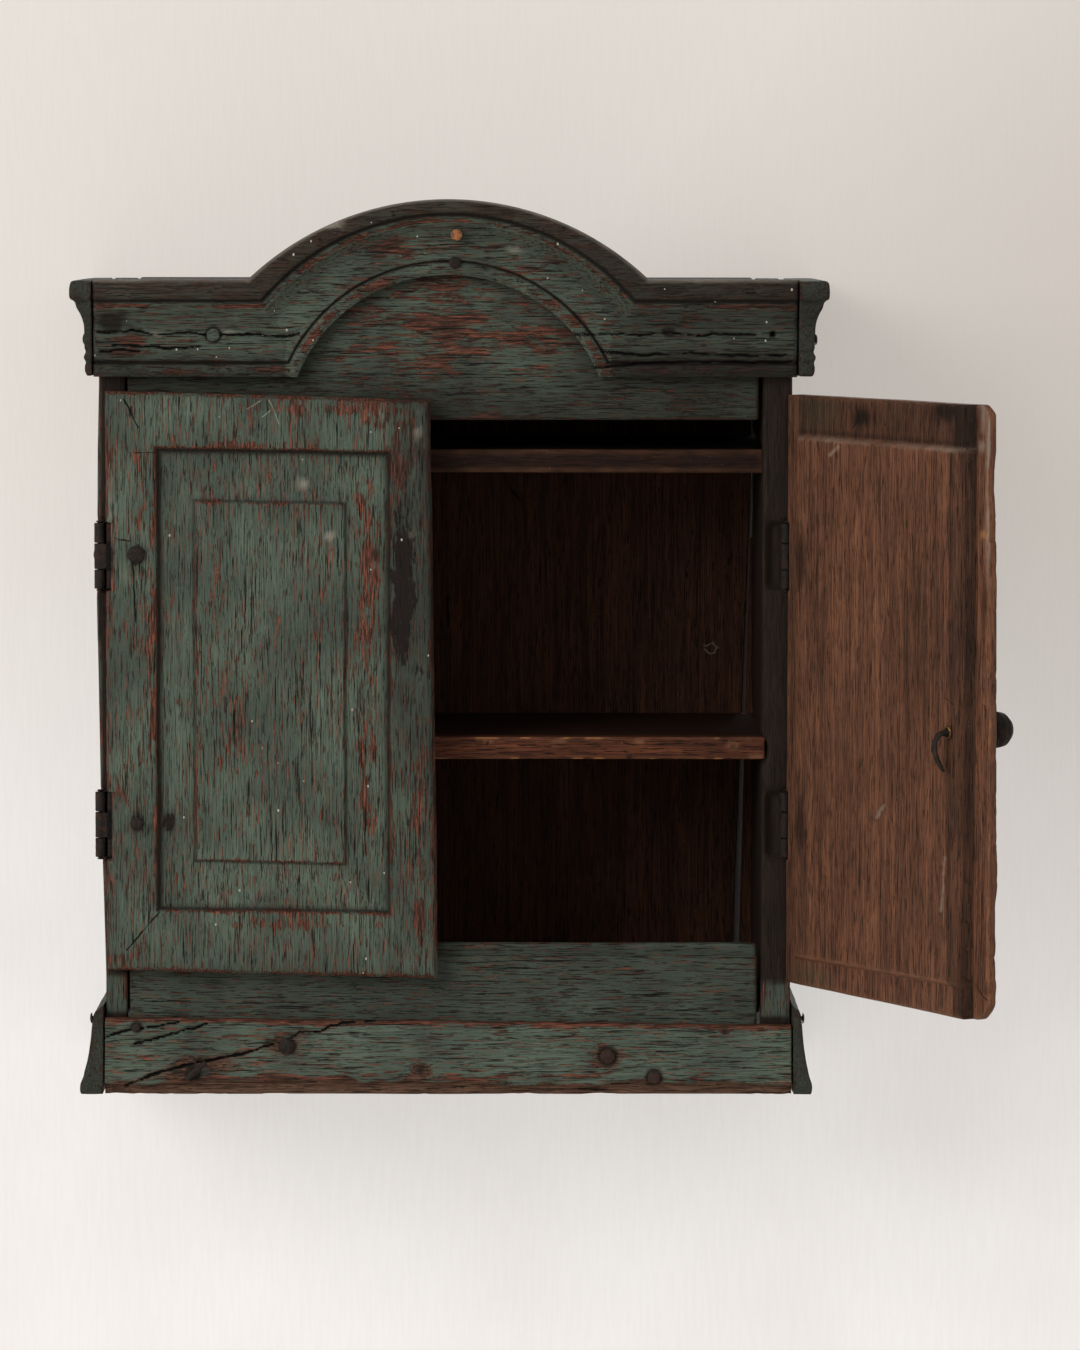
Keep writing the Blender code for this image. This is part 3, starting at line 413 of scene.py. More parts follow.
# %% [markdown]
# ## Old distemper over a red-brown ground
# The boards carry two thin coats of matt paint. The green one has flaked off along the
# grain in narrow slivers, so that the red-brown ground shows, and on arrises even that has
# gone. The pores of the softwood telegraph through as fine dark lines. So the colour is
# built in the order of the real coats, and the relief falls a little wherever a coat ends.

# %% The worn paint
PAINT = {"light": "#617061", "dark": "#424d43", "grey": "#5c6158"}
GROUND = {"light": "#8a5340", "dark": "#55342a"}


def stepped(tree, value, low, high):
    """A mask that rises from 0 to 1 as value goes from low to high."""
    return add(
        tree, "ShaderNodeMapRange", {0: value, 1: low, 2: high}, interpolation_type="SMOOTHSTEP"
    ).outputs[0]


def worn_paint(name, grain, seed, flaked=0.0, dulling_and_shade=0.0, marks=(), mark_width=1.2,
               raw=("#17100c", "#2d1f18"), flake=(3.2, 16), rubs=()):
    """Flaking green paint; grain is the axis that the wood runs along.

    Marks are dark scores and rubs pale ones, both as paths; raw holds the two tones of wood
    that never had paint, and flake is the width and length of a missing flake in mm.
    """
    material, tree, shader, place = new_material(name, 0.62)
    shader.inputs["Specular IOR Level"].default_value = 0.14
    worn, grime = kept(tree, "worn"), kept(tree, "grime")
    bare, dust = kept(tree, "bare"), kept(tree, "dust")

    fading = pattern(tree, place, (60, 60, 80), seed, 0.3, 0.7, 2.0)
    fibres = pattern(tree, place, grain_size(grain, 0.8, 30), seed + 1, 0.3, 0.7, 5.0)
    broad = pattern(tree, place, grain_size(grain, 22, 44), seed + 2, 0.3, 0.7, 3.0)
    slivers = pattern(tree, place, grain_size(grain, 1.0, 15), seed + 3, 0.2, 0.8, 5.0)
    flakes = pattern(tree, place, grain_size(grain, *flake), seed + 4, 0.2, 0.8, 6.0)
    pores = pattern(tree, place, grain_size(grain, 0.9, 15), seed + 5, 0.6, 0.612, 4.0)
    splits = pattern(tree, place, grain_size(grain, 1.2, 40), seed + 6, 0.625, 0.637, 3.0)
    hairs = pattern(tree, place, grain_size(grain, 0.95, 22), seed + 10, 0.578, 0.59, 4.0)
    mottle = pattern(tree, place, (2.4, 2.4, 2.4), seed + 7, 0.3, 0.7, 5.0)
    deep = pattern(tree, place, grain_size(grain, 1.2, 16), seed + 8, 0.44, 0.54, 3.0)
    chips = pattern(tree, place, grain_size(grain, 1.3, 6), seed + 12, 0.3, 0.7, 5.0)
    open_crack = stepped(tree, weighed(tree, [(kept(tree, "crack"), 1.0), (chips, 0.4)]), 0.5, 0.66)
    stained = stepped(
        tree, weighed(tree, [(kept(tree, "stain"), 0.8), (slivers, 0.45), (chips, 0.45)]), 0.95, 1.0
    )

    amount = weighed(
        tree, [(slivers, 0.5), (flakes, 0.46), (broad, 0.3), (worn, 0.8)], flaked
    )
    gone = stepped(tree, amount, 0.87, 0.882)
    rim = stepped(tree, amount, 0.835, 0.87)
    to_wood = stepped(tree, amount, 1.2, 1.3)

    green = coats(
        tree, linear(PAINT["dark"]),
        [
            (fading, linear(PAINT["light"])),
            (weighed(tree, [(mottle, 0.4)]), linear(PAINT["grey"])),
            (weighed(tree, [(fibres, -0.62)], 0.62), linear("#333c34")),
            (weighed(tree, [(rim, 0.45)]), linear("#2b2720")),
        ],
    )
    ground = coats(
        tree, linear(GROUND["dark"]),
        [(fibres, linear(GROUND["light"])), (weighed(tree, [(deep, 0.8)]), linear("#2e1f18"))],
    )
    wood = coats(tree, linear("#2a1d16"), [(fibres, linear("#59402f"))])
    untouched = coats(tree, linear(raw[0]), [(fibres, linear(raw[1]))])
    colour = coats(
        tree, green,
        [
            (weighed(tree, [(hairs, 0.9)]), ground),
            (gone, ground),
            (to_wood, wood),
            (bare, untouched),
            (weighed(tree, [(pores, 0.85)]), linear("#1d1712")),
            (splits, linear("#120e0b")),
            # painted shade and grime both darken the paint here, and dulling_and_shade darkens it all over
            (weighed(tree, [(grime, 0.9)], dulling_and_shade), linear("#1c1813")),
            (weighed(tree, [(stained, 0.94)]), linear("#1b1210")),
            (weighed(tree, [(dust, 0.8)]), linear("#8d857a")),
            (open_crack, linear("#0b0807")),
        ],
    )
    crack = 0.0
    if marks:
        crack = scored(tree, place, marks, mark_width, seed + 9)
        colour = coats(tree, colour, [(crack, linear("#0b0807"))])
    if rubs:
        rubbed = scored(tree, place, rubs, 0.8, seed + 11)
        colour = coats(tree, colour, [(weighed(tree, [(rubbed, 0.6)]), linear("#98a097"))])
    height = weighed(
        tree,
        [(gone, -0.3), (hairs, -0.25), (pores, -0.4), (splits, -0.8), (fibres, 0.2),
         (mottle, 0.16), (crack, -2.5), (open_crack, -1.6), (stained, -0.4)],
        0.8,
    )
    finish_off(tree, shader, colour, height, 0.7)
    return material


print("paint tones:", PAINT, GROUND)

# %% [markdown]
# ## Bare old wood
# The backs of the doors, the shelves and the inside were never painted. The softwood has
# gone brown with age and smoke: earlywood and latewood bands show as long streaks, pores
# are nearly black, and hands have left a slight polish. Broad noise shifts the brown from
# red to grey so that no large area is one colour.

# %% The bare wood
def bare_wood(name, grain, seed, light, dark, grime_tone, roughness=0.6, marks=(), mark_width=1.0,
              rubs=()):
    """Unpainted wood between two browns; marks are dark scores and rubs pale ones."""
    material, tree, shader, place = new_material(name, roughness)
    shader.inputs["Specular IOR Level"].default_value = 0.12
    worn, grime = kept(tree, "worn"), kept(tree, "grime")
    bare, dust = kept(tree, "bare"), kept(tree, "dust")
    moss = kept(tree, "moss")
    bands = pattern(tree, place, grain_size(grain, 6, 170), seed, 0.34, 0.68, 4.0)
    streaks = pattern(tree, place, grain_size(grain, 0.8, 48), seed + 1, 0.36, 0.64, 5.0)
    pores = pattern(tree, place, grain_size(grain, 0.8, 14), seed + 2, 0.575, 0.59, 4.0)
    clouds = pattern(tree, place, (30, 30, 36), seed + 3, 0.4, 0.7, 5.0)
    splits = pattern(tree, place, grain_size(grain, 1.2, 50), seed + 6, 0.665, 0.69, 3.0)
    specks = pattern(tree, place, (1.8, 1.8, 2.6), seed + 4, 0.7, 0.73, 2.0)
    colour = coats(
        tree, linear(dark),
        [
            (weighed(tree, [(bands, 0.42), (streaks, 0.58)]), linear(light)),
            (weighed(tree, [(clouds, 0.34)]), linear(grime_tone)),
            (weighed(tree, [(pores, 0.85)]), linear("#150d09")),
            (weighed(tree, [(splits, 0.9)]), linear("#120c09")),
            (weighed(tree, [(worn, 0.6)]), linear("#8a6047")),
            (weighed(tree, [(bare, 0.85)]), linear("#b07a4c")),
            (weighed(tree, [(moss, 0.5)]), linear("#3a3f30")),
            # painted shade and grime darken the wood here
            (weighed(tree, [(grime, 0.88)]), linear("#120c09")),
            (weighed(tree, [(specks, 0.25)]), linear("#8a7a6b")),
            (weighed(tree, [(dust, 0.72)]), linear("#8e8073")),
        ],
    )
    crack = 0.0
    if marks:
        crack = scored(tree, place, marks, mark_width, seed + 5)
        colour = coats(tree, colour, [(weighed(tree, [(crack, 0.9)]), linear("#0d0806"))])
    if rubs:
        rubbed = scored(tree, place, rubs, 3.2, seed + 8, jag=1.6)
        colour = coats(tree, colour, [(weighed(tree, [(rubbed, 0.4)]), linear("#9a8b7b"))])
    height = weighed(
        tree,
        [(pores, -0.5), (splits, -0.9), (streaks, 0.3), (clouds, 0.15), (dust, 0.3), (crack, -2.0)],
        0.6,
    )
    finish_off(tree, shader, colour, height, 0.6)
    return material


# %% [markdown]
# ## Iron, brass and the pegs
# Nails, hinges and latch were forged by hand. Forging leaves small flat facets and a black
# scale, and damp has turned part of it to brown rust, which is rough and no longer
# metallic. Metallic and roughness therefore change together with the rust's own pattern.

# %% The metals and the peg's end grain
def forged_iron(name, seed, rust_low, rust_high):
    material, tree, shader, place = new_material(name, 0.5)
    shader.inputs["Specular IOR Level"].default_value = 0.2
    rust = pattern(tree, place, (4, 4, 4), seed, rust_low, rust_high, 5.0)
    pits = pattern(tree, place, (1.4, 1.4, 1.4), seed + 1, 0.35, 0.7, 3.0)
    flats = pattern(tree, place, (6, 6, 6), seed + 2, 0.3, 0.7, 1.0)
    colour = coats(
        tree, linear("#1c1917"),
        [
            (weighed(tree, [(pits, 0.5)]), linear("#2c2724")),
            (rust, linear("#35221a")),
            (weighed(tree, [(flats, 0.22)]), linear("#3b3633")),
            # painted shade at the hinge gaps and grime darken the iron here
            (weighed(tree, [(kept(tree, "grime"), 0.9)]), linear("#080605")),
        ],
    )
    metallic = weighed(tree, [(rust, -0.35)], 0.38)
    tree.links.new(metallic, shader.inputs["Metallic"])
    rough = weighed(tree, [(rust, 0.2), (pits, 0.1)], 0.6)
    tree.links.new(rough, shader.inputs["Roughness"])
    finish_off(tree, shader, colour, weighed(tree, [(pits, 0.5), (rust, 0.4)]), 0.35)
    return material


def dull_brass(name):
    material, tree, shader, place = new_material(name, 0.45)
    shader.inputs["Metallic"].default_value = 0.8
    tarnish = pattern(tree, place, (2.5, 2.5, 2.5), 31, 0.35, 0.65, 4.0)
    colour = coats(tree, linear("#8a6a3a"), [(tarnish, linear("#4a3622"))])
    finish_off(tree, shader, colour, tarnish, 0.15)
    return material


def peg_end(name):
    """End grain of a split peg, with paler rings and darker dirt."""
    material, tree, shader, place = new_material(name, 0.55)
    rings = pattern(tree, place, (1.2, 1.2, 3.0), 41, 0.3, 0.7, 3.0)
    dirt = pattern(tree, place, (4, 4, 4), 43, 0.45, 0.7, 3.0)
    colour = coats(
        tree, linear("#7a4520"), [(rings, linear("#a5652f")), (dirt, linear("#3d2415"))]
    )
    finish_off(tree, shader, colour, rings, 0.3)
    return material


IRON = forged_iron("forged_iron", 21, 0.46, 0.64)
RUSTED = forged_iron("rusted_iron", 25, 0.28, 0.5)
BRASS = dull_brass("tarnished_brass")
PEG = peg_end("softwood_peg_end_grain")
print("metals:", IRON.name, RUSTED.name, BRASS.name)

# %% [markdown]
# ## The doors' guide lines
# Each door is one board, carved on its face as a frame round a bevelled panel and raised
# on its back as a field. Every carved line is a guide: a place across or up the board that
# wanders a fraction of a millimetre, as a hand-cut line does. Both doors share the
# functions, and only their sizes differ.

# %% Sizes and guide lines of the doors
BACK, FACE, FIELD = 2.5 * MM, -15.3 * MM, 7.5 * MM  # from the hinge axis to the back
RECESS = {"hinge": 38 * MM, "free": 36 * MM, "bottom": 46 * MM, "top": 42 * MM}
PANEL = {"hinge": 66.5 * MM, "free": 69.5 * MM, "bottom": 83 * MM, "top": 81 * MM}
RECESS_FLOOR = 4.5 * MM
BEVEL_TOP = 2.6 * MM
PANEL_FACE = 1 * MM
REBATE_WIDTH = 22.4 * MM
REBATE_PLANE = FACE + 9.1 * MM
HINGE_MIDDLES = (201 * MM, 401 * MM)
NOTCH_HALF = 25.5 * MM
DOORS = {
    "left": {
        "start": 4.9 * MM, "width": 246.3 * MM, "lean": 5.6 * MM, "bottom": 93.5 * MM,
        "height": 430.5 * MM, "drops": (6.5 * MM, 6.5 * MM), "notch": 9 * MM,
        "field": {"hinge": 16 * MM, "free": 28 * MM, "bottom": 27 * MM, "top": 33 * MM},
    },
    "right": {
        "start": 3 * MM, "width": 247.9 * MM, "lean": 6.5 * MM, "bottom": 83.5 * MM,
        "height": 437.9 * MM, "drops": (4 * MM, -1.8 * MM), "notch": 5.2 * MM,
        "field": {"hinge": 16 * MM, "free": 23.2 * MM, "bottom": 19.5 * MM, "top": 29.1 * MM},
    },
}


def upright(door, at, lean, seed, shake, inward=0.0):
    """A guide up the board, at a distance from the hinge edge."""
    def line(b):
        up = (b - door["bottom"]) / door["height"]
        wandering = wander(b, 70 * MM, seed, shake) + inward * 1.45 * shake
        return door["start"] + at - door["lean"] * lean * up + wandering
    return line


def level(door, at, top, droop, seed, shake, inward=0.0):
    """A guide across the board, at a height above its foot."""
    def line(a):
        along = (a - door["start"]) / door["width"]
        drop = door["drops"][top] * droop * along
        wandering = wander(a, 70 * MM, seed, shake) + inward * 1.45 * shake
        return door["bottom"] + at - drop + wandering
    return line


def hinge_edge(door, seed):
    """The hinge edge, notched for the knuckles of both hinges."""
    plain = upright(door, 0, 0, seed, 0.15 * MM, 1)
    def line(b):
        cut = sum(
            ease(b, z - NOTCH_HALF - 0.5 * MM, z - NOTCH_HALF + 0.5 * MM)
            * ease(b, z + NOTCH_HALF + 0.5 * MM, z + NOTCH_HALF - 0.5 * MM)
            for z in HINGE_MIDDLES
        )
        return plain(b) * (1 - cut) + door["notch"] * cut
    return line


def frame_lines(door, margins, seed, droop=0.6, shake=0.42 * MM):
    """Four guides at margins from the board's edges: hinge, free, bottom and top."""
    return (
        upright(door, margins["hinge"], 0, seed, shake),
        upright(door, door["width"] - margins["free"], 0, seed + 1, shake),
        level(door, margins["bottom"], 0, droop, seed + 2, shake),
        level(door, door["height"] - margins["top"], 1, droop, seed + 3, shake),
    )


def inside(lines, a, b):
    """How far a point lies inside four guides, negative outside."""
    hinge, free, bottom, top = lines
    return np.minimum.reduce([a - hinge(b), free(b) - a, b - bottom(a), top(a) - b])


print("door boards:", {side: (door["width"], door["height"]) for side, door in DOORS.items()})

# %% [markdown]
# ## Carving both faces
# The front falls from the frame over a rounded arris into a groove, rises again along the
# bevel and steps up to the panel. The back rises to the field and drops to the rebate
# where the doors meet. Broad waves and fine ridges along the grain go on top, always into
# the wood, so that the worn board stays inside the true size.

# %% Carve a door's two faces
def carve_door(side, seed, round_corners=0.0):
    door = DOORS[side]
    recess = frame_lines(door, RECESS, seed)
    panel = frame_lines(door, PANEL, seed + 10)
    field = frame_lines(door, door["field"], seed + 20, 0)
    rebate = upright(door, door["width"] - REBATE_WIDTH, 0, seed + 30, 0.2 * MM)
    free_plain = upright(door, door["width"], 1, seed + 31, 0.3 * MM, -1)
    foot_plain = level(door, 0, 0, 1, seed + 32, 0.25 * MM, 1)
    head_plain = level(door, door["height"], 1, 1, seed + 33, 0.25 * MM, -1)
    end = door["start"] + door["width"]

    def free(b):
        bites = np.clip(wander(b, 31 * MM, seed + 34, 1.0) - 0.25, 0, 1) ** 0.7
        nicks = np.clip(wander(b, 7 * MM, seed + 36, 1.0) - 0.3, 0, 1)
        ragged = (3.2 * bites + 1.6 * nicks) * MM
        return free_plain(b) - (ragged if round_corners else 0.25 * ragged)

    def rounded(a):
        if not round_corners:
            return np.zeros_like(a)
        return round_corners * np.clip((a - end + 1.3 * round_corners) / round_corners, 0, 2) ** 2

    def foot(a):
        return foot_plain(a) + rounded(a) * 0.9

    def head(a):
        return head_plain(a) - rounded(a)

    edges = (hinge_edge(door, seed + 35), free, foot, head)
    across = sorted(
        [edges[0], field[0], recess[0], panel[0], panel[1], recess[1], field[1], rebate, free],
        key=lambda guide: float(guide(np.array([0.31]))[0]),
    )
    notches = [
        (lambda a, z=z, s=s: np.full(np.shape(a), z + s * NOTCH_HALF))
        for z in HINGE_MIDDLES for s in (-1, 1)
    ]
    carved = [foot, field[2], recess[2], panel[2], panel[3], recess[3], field[3], head]

    def at_middle(guide):
        return float(guide(np.array([0.12]))[0])

    apart = [
        notch for notch in notches
        if min(abs(at_middle(notch) - at_middle(guide)) for guide in carved) > 4.5 * MM
    ]  # a notch's guide that would cross a carved one is left out
    up = sorted(carved + apart, key=at_middle)
    middle = (0.12, 0.31)
    a, b = lay_grid(across, up, middle)
    lines = {"edges": edges, "recess": recess, "panel": panel, "field": field, "rebate": rebate}
    return door, lines, a, b


def sheet_points(a, b, depth=0.0):
    flat_a, flat_b = np.ravel(a), np.ravel(b)
    return np.stack([flat_a, np.full(flat_a.size, depth), flat_b], 1)


def ridges(a, b, seed, along="b"):
    """Broad waves and fine ridges of hand-planed, worn wood, from 0 to about 1 mm."""
    points = sheet_points(a, b)
    run = (2.6 * MM, 1, 75 * MM) if along == "b" else (75 * MM, 1, 2.6 * MM)
    waves = (unevenness(points, 62 * MM, seed) + 1) * 0.32 * MM
    dents = (unevenness(points, 17 * MM, seed + 1) + 1) * 0.1 * MM
    fine = (unevenness(points, run, seed + 2) + 1) * 0.1 * MM
    return (waves + dents + fine).reshape(np.shape(a))


def door_front(lines, a, b, seed):
    in_recess = inside(lines["recess"], a, b)
    in_panel = inside(lines["panel"], a, b)
    in_board = inside(lines["edges"], a, b)
    rise = np.clip(in_recess / np.maximum(in_recess - in_panel, 1e-6), 0, 1)
    floor = RECESS_FLOOR + (BEVEL_TOP - RECESS_FLOOR) * rise
    shaded = np.minimum(a - lines["recess"][0](b), lines["recess"][3](a) - b)
    soft = 1 - ease(shaded - in_recess, 0.2 * MM, 4 * MM)  # the worn upper and hinge sides
    depth = floor * ease(in_recess, -(1.0 + 1.4 * soft) * MM, (1.8 + 1.6 * soft) * MM)
    on_panel = ease(in_panel, -0.9 * MM, 0.7 * MM)
    depth = depth * (1 - on_panel) + PANEL_FACE * on_panel
    rounding = 2.4 * MM * (1 - ease(in_board, 0, 3.4 * MM)) ** 2
    return FACE + depth + rounding + ridges(a, b, seed)


def door_back(lines, a, b, seed):
    in_field = inside(lines["field"], a, b)
    in_board = inside(lines["edges"], a, b)
    rise = (FIELD - BACK) * ease(in_field, -0.6 * MM, 3.6 * MM)
    height = BACK + rise - 1.5 * MM * (1 - ease(in_board, 0, 2.6 * MM)) ** 2
    past = a - lines["rebate"](b)
    lip = REBATE_PLANE - 0.8 * MM * (1 - ease(in_board, 0, 2.2 * MM)) ** 2
    height = np.where(past > 0, lip, height)
    return height - ridges(a, b, seed + 5) * 0.8


print("carving functions are ready")

# %% [markdown]
# ## The closed left door
# Nearly all of its face is still green. The arrises are rubbed to the ground colour, a
# dark stain runs down the stile beside the latch side, and painted shade darkens the
# groove, most along its left and upper sides, with some grime. These are patches on the
# board, so they are kept as numbers on its vertices.

# %% Make the left door
LEFT_AXIS = Vector((-0.2584, -0.235, 0))


def left_place(a, depth, b):
    return np.stack([LEFT_AXIS.x + a, LEFT_AXIS.y + depth, b + FLOOR_OF_BASE], 1)


def on_left(across, down):
    """A pixel of the photograph as a place on the left door's face."""
    point = seen_at(across, down, (0, LEFT_AXIS.y + FACE, 0))
    return point.x - LEFT_AXIS.x, point.z - FLOOR_OF_BASE


def patch(a, b, where, half, strength=1.0, rough=6 * MM, seed=3):
    """A ragged patch centred on a pixel's place, half its size in mm."""
    shake = unevenness(sheet_points(a, b), rough, seed) * 0.35
    return strength * np.clip(spot(a, b, where, (half[0] * MM, half[1] * MM)) * 1.5 + shake - 0.35, 0, 1)


door, lines, a, b = carve_door("left", 100)
mesh, all_a, all_b, sides = board_mesh(
    "left_door_board", a, b, door_front(lines, a, b, 51), door_back(lines, a, b, 51), left_place
)
in_board = inside(lines["edges"], all_a, all_b)
in_recess = inside(lines["recess"], all_a, all_b)
in_panel = inside(lines["panel"], all_a, all_b)
broken = 0.55 + 0.45 * unevenness(sheet_points(all_a, all_b), (9 * MM, 1, 30 * MM), 61)
front_only = (sides < 0.5).astype(float)
worn = (
    (1 - ease(in_board, 0, 4.5 * MM)) * broken
    + 0.8 * np.exp(-(((in_recess + 0.4 * MM) / (1.5 * MM)) ** 2)) * broken
    + 0.6 * np.exp(-(((in_panel - 0.3 * MM) / (1.3 * MM)) ** 2)) * broken
)
for pixel, half, strength in (
    ((372, 413), (34, 12), 0.45), ((399, 468), (9, 40), 0.4), ((366, 562), (9, 52), 0.42),
    ((152, 640), (3, 120), 0.4), ((300, 408), (60, 5), 0.3), ((125, 960), (12, 8), 0.4),
    ((366, 690), (8, 60), 0.36), ((368, 820), (7, 50), 0.36), ((420, 930), (8, 30), 0.3),
    ((140, 500), (6, 60), 0.3), ((300, 925), (60, 4), 0.3), ((250, 445), (60, 3), 0.35), ((228, 700), (30, 110), 0.12), ((420, 820), (7, 60), 0.28),
):
    worn += patch(all_a, all_b, on_left(*pixel), half, strength)
from_light = np.minimum(
    all_a - lines["recess"][0](all_b), lines["recess"][3](all_a) - all_b
)  # distance from the groove's left and upper sides, which lie in shadow
# grime: the dark lines in the groove and round the panel's step, and the band along the groove's left and
# upper sides, are painted shade; the patches at the nails are grime
grime = (
    0.85 * np.exp(-(((in_recess - 1.4 * MM) / (1.5 * MM)) ** 2))
    + 0.6 * ease(in_recess, -2 * MM, 1 * MM) * np.exp(-np.maximum(from_light, 0) / (5 * MM))
    + 0.75 * np.exp(-(((in_panel + 1.2 * MM) / (1.1 * MM)) ** 2))
    + patch(all_a, all_b, on_left(402, 590), (12, 80), 0.25)
    + 0.3 * ease(all_a, 205 * MM, 222 * MM) * ease(all_b, 180 * MM, 330 * MM)
    + 0.22 * ease(all_a, 205 * MM, 222 * MM)
    + patch(all_a, all_b, on_left(136, 556), (11, 13), 0.5)
    + patch(all_a, all_b, on_left(139, 823), (10, 11), 0.5)
    + patch(all_a, all_b, on_left(168, 823), (5, 7), 1.5)
    + patch(all_a, all_b, on_left(375, 555), (4, 6), 0.8)
    + 0.25 * (1 - ease(in_board, 0, 12 * MM))
)
stain = (
    patch(all_a, all_b, on_left(404, 560), (12, 74), 1.0, 9 * MM)
    + patch(all_a, all_b, on_left(400, 624), (10, 34), 1.0, 9 * MM)
    + patch(all_a, all_b, on_left(168, 823), (7, 8), 1.2)
    + patch(all_a, all_b, on_left(137, 556), (8, 10), 0.7)
    + patch(all_a, all_b, on_left(140, 822), (7, 8), 0.7)
    + patch(all_a, all_b, on_left(132, 414), (4, 9), 0.9)
    + patch(all_a, all_b, on_left(110, 556), (4, 15), 1.0)
    + patch(all_a, all_b, on_left(108, 828), (4, 16), 1.0)
    + patch(all_a, all_b, on_left(420, 670), (5, 22), 0.6)
)
dust = (
    patch(all_a, all_b, on_left(418, 432), (4, 6), 0.5)
    + patch(all_a, all_b, on_left(305, 485), (4, 4), 0.4)
    + patch(all_a, all_b, on_left(412, 535), (4, 4), 0.4)
    # a painted highlight: a pale strip where the rounded hinge edge catches the light
    + patch(all_a, all_b, on_left(110, 500), (2, 22), 0.6)
    + patch(all_a, all_b, on_left(330, 536), (3, 3), 1.6, 3 * MM)
    + patch(all_a, all_b, on_left(301, 484), (7, 5), 0.5, 4 * MM)
    + patch(all_a, all_b, on_left(262, 1000), (16, 12), 0.25, 6 * MM)
)
keep(
    mesh, worn=worn * front_only, grime=grime * front_only, dust=dust * front_only,
    stain=stain * front_only,
)
left_door = stand_for(mesh, "left_door_board", "left_door")
print("left door:", len(mesh.polygons), "faces")

# %% Paint the left door
def trace(points, plane=FACE + 0.5 * MM):
    """Pixels of the photograph as points on a plane in front of the carcass."""
    return [tuple(seen_at(x, y, (0, LEFT_AXIS.y + plane, 0))) for x, y in points]


left_scratches = [
    trace([(112, 537), (120, 540), (129, 541)]),
    trace([(133, 562), (134, 590), (136, 622)]),
    trace([(135, 453), (148, 452), (158, 454)]),
    trace([(127, 950), (143, 931), (160, 912)]),
    trace([(124, 399), (131, 412), (138, 428)]),
]
left_rubs = [
    trace([(247, 409), (260, 401)]),
    trace([(269, 400), (275, 412), (279, 424)]),
    trace([(262, 417), (270, 411)]),
]
door_paint = worn_paint(
    "distemper_on_left_door", "z", 3, 0.0, marks=left_scratches, rubs=left_rubs
)
door_back_wood = bare_wood("bare_softwood_of_door_backs", "z", 8, "#6d4b38", "#3d281d", "#3f3027")
for material in (door_paint, door_back_wood):
    left_door.data.materials.append(material)


def give_back(piece, start, count, slot_number=1):
    """The faces from start on take another of the piece's materials."""
    numbers = np.zeros(len(piece.data.polygons), np.int32)
    numbers[start : start + count] = slot_number
    piece.data.polygons.foreach_set("material_index", numbers)


give_back(left_door, left_door.data["front_faces"], left_door.data["front_faces"])
print("materials on the left door:", [m.name for m in left_door.data.materials])

# %% [markdown]
# ## The open right door
# We look at its unpainted back: a raised field with a dusty upper edge, bands round it, and
# the thin lip of the rebate, bruised and split where the latch has knocked for years. The
# corners are worn round. A true hole is drilled for the latch's spindle, because the latch
# turns in it.

# %% Make the right door
RIGHT_AXIS = Vector((0.2503, -0.235, 0))
TURN = Matrix.Rotation(math.radians(122.5), 3, "Z")


def right_place(a, depth, b):
    turn = np.array(TURN)[:2, :2]
    flat = turn @ np.stack([-a, depth])
    return np.stack([RIGHT_AXIS.x + flat[0], RIGHT_AXIS.y + flat[1], b + FLOOR_OF_BASE], 1)


def on_right(across, down, plane=FIELD):
    """A pixel of the photograph as a place on the back of the right door."""
    local = Vector((0, plane, 0))
    point = seen_at(across, down, RIGHT_AXIS + TURN @ local, TURN @ Vector((0, 1, 0)))
    local = TURN.transposed() @ (point - RIGHT_AXIS)
    return -local.x, local.z - FLOOR_OF_BASE


door, lines, a, b = carve_door("right", 200, 13 * MM)
mesh, all_a, all_b, sides = board_mesh(
    "right_door_board", a, b, door_front(lines, a, b, 71), door_back(lines, a, b, 71), right_place
)
mesh.flip_normals()
in_board = inside(lines["edges"], all_a, all_b)
in_recess = inside(lines["recess"], all_a, all_b)
in_field = inside(lines["field"], all_a, all_b)
past = all_a - lines["rebate"](all_b)
on_back = (sides > 0.5).astype(float)
broken = 0.5 + 0.5 * unevenness(sheet_points(all_a, all_b), (9 * MM, 1, 30 * MM), 63)
free_side = ease(all_a, 100 * MM, 225 * MM)
field_top = lines["field"][3](all_a) - all_b
field_foot = all_b - lines["field"][2](all_a)
across_field = ease(all_a, 16 * MM, 24 * MM) * ease(past, 2 * MM, -2 * MM)
worn = (
    (1 - ease(in_board, 0, 4 * MM)) * broken * 0.8
    + 0.6 * np.exp(-(((in_field - 3.2 * MM) / (1.6 * MM)) ** 2)) * broken * on_back
    + 0.5 * (1 - ease(np.abs(field_foot - 2 * MM), 0.5 * MM, 3 * MM)) * across_field * on_back
    + 0.35 * np.exp(-((in_recess / (1.6 * MM)) ** 2)) * (1 - on_back)
    + patch(all_a, all_b, on_right(990, 480, REBATE_PLANE), (5, 60), 0.5) * on_back
    + patch(all_a, all_b, on_right(860, 700), (60, 120), 0.14) * on_back
)
dust = (
    0.75 * np.exp(-(((field_top - 1.8 * MM) / (1.3 * MM)) ** 2)) * across_field * broken
    + patch(all_a, all_b, on_right(983, 416, REBATE_PLANE), (5, 13), 0.7)
    + patch(all_a, all_b, on_right(989, 447, REBATE_PLANE), (4, 20), 0.85)
    + patch(all_a, all_b, on_right(988, 500, REBATE_PLANE), (3, 60), 0.7)
    + patch(all_a, all_b, on_right(966, 447), (5, 5), 0.8)
) * on_back
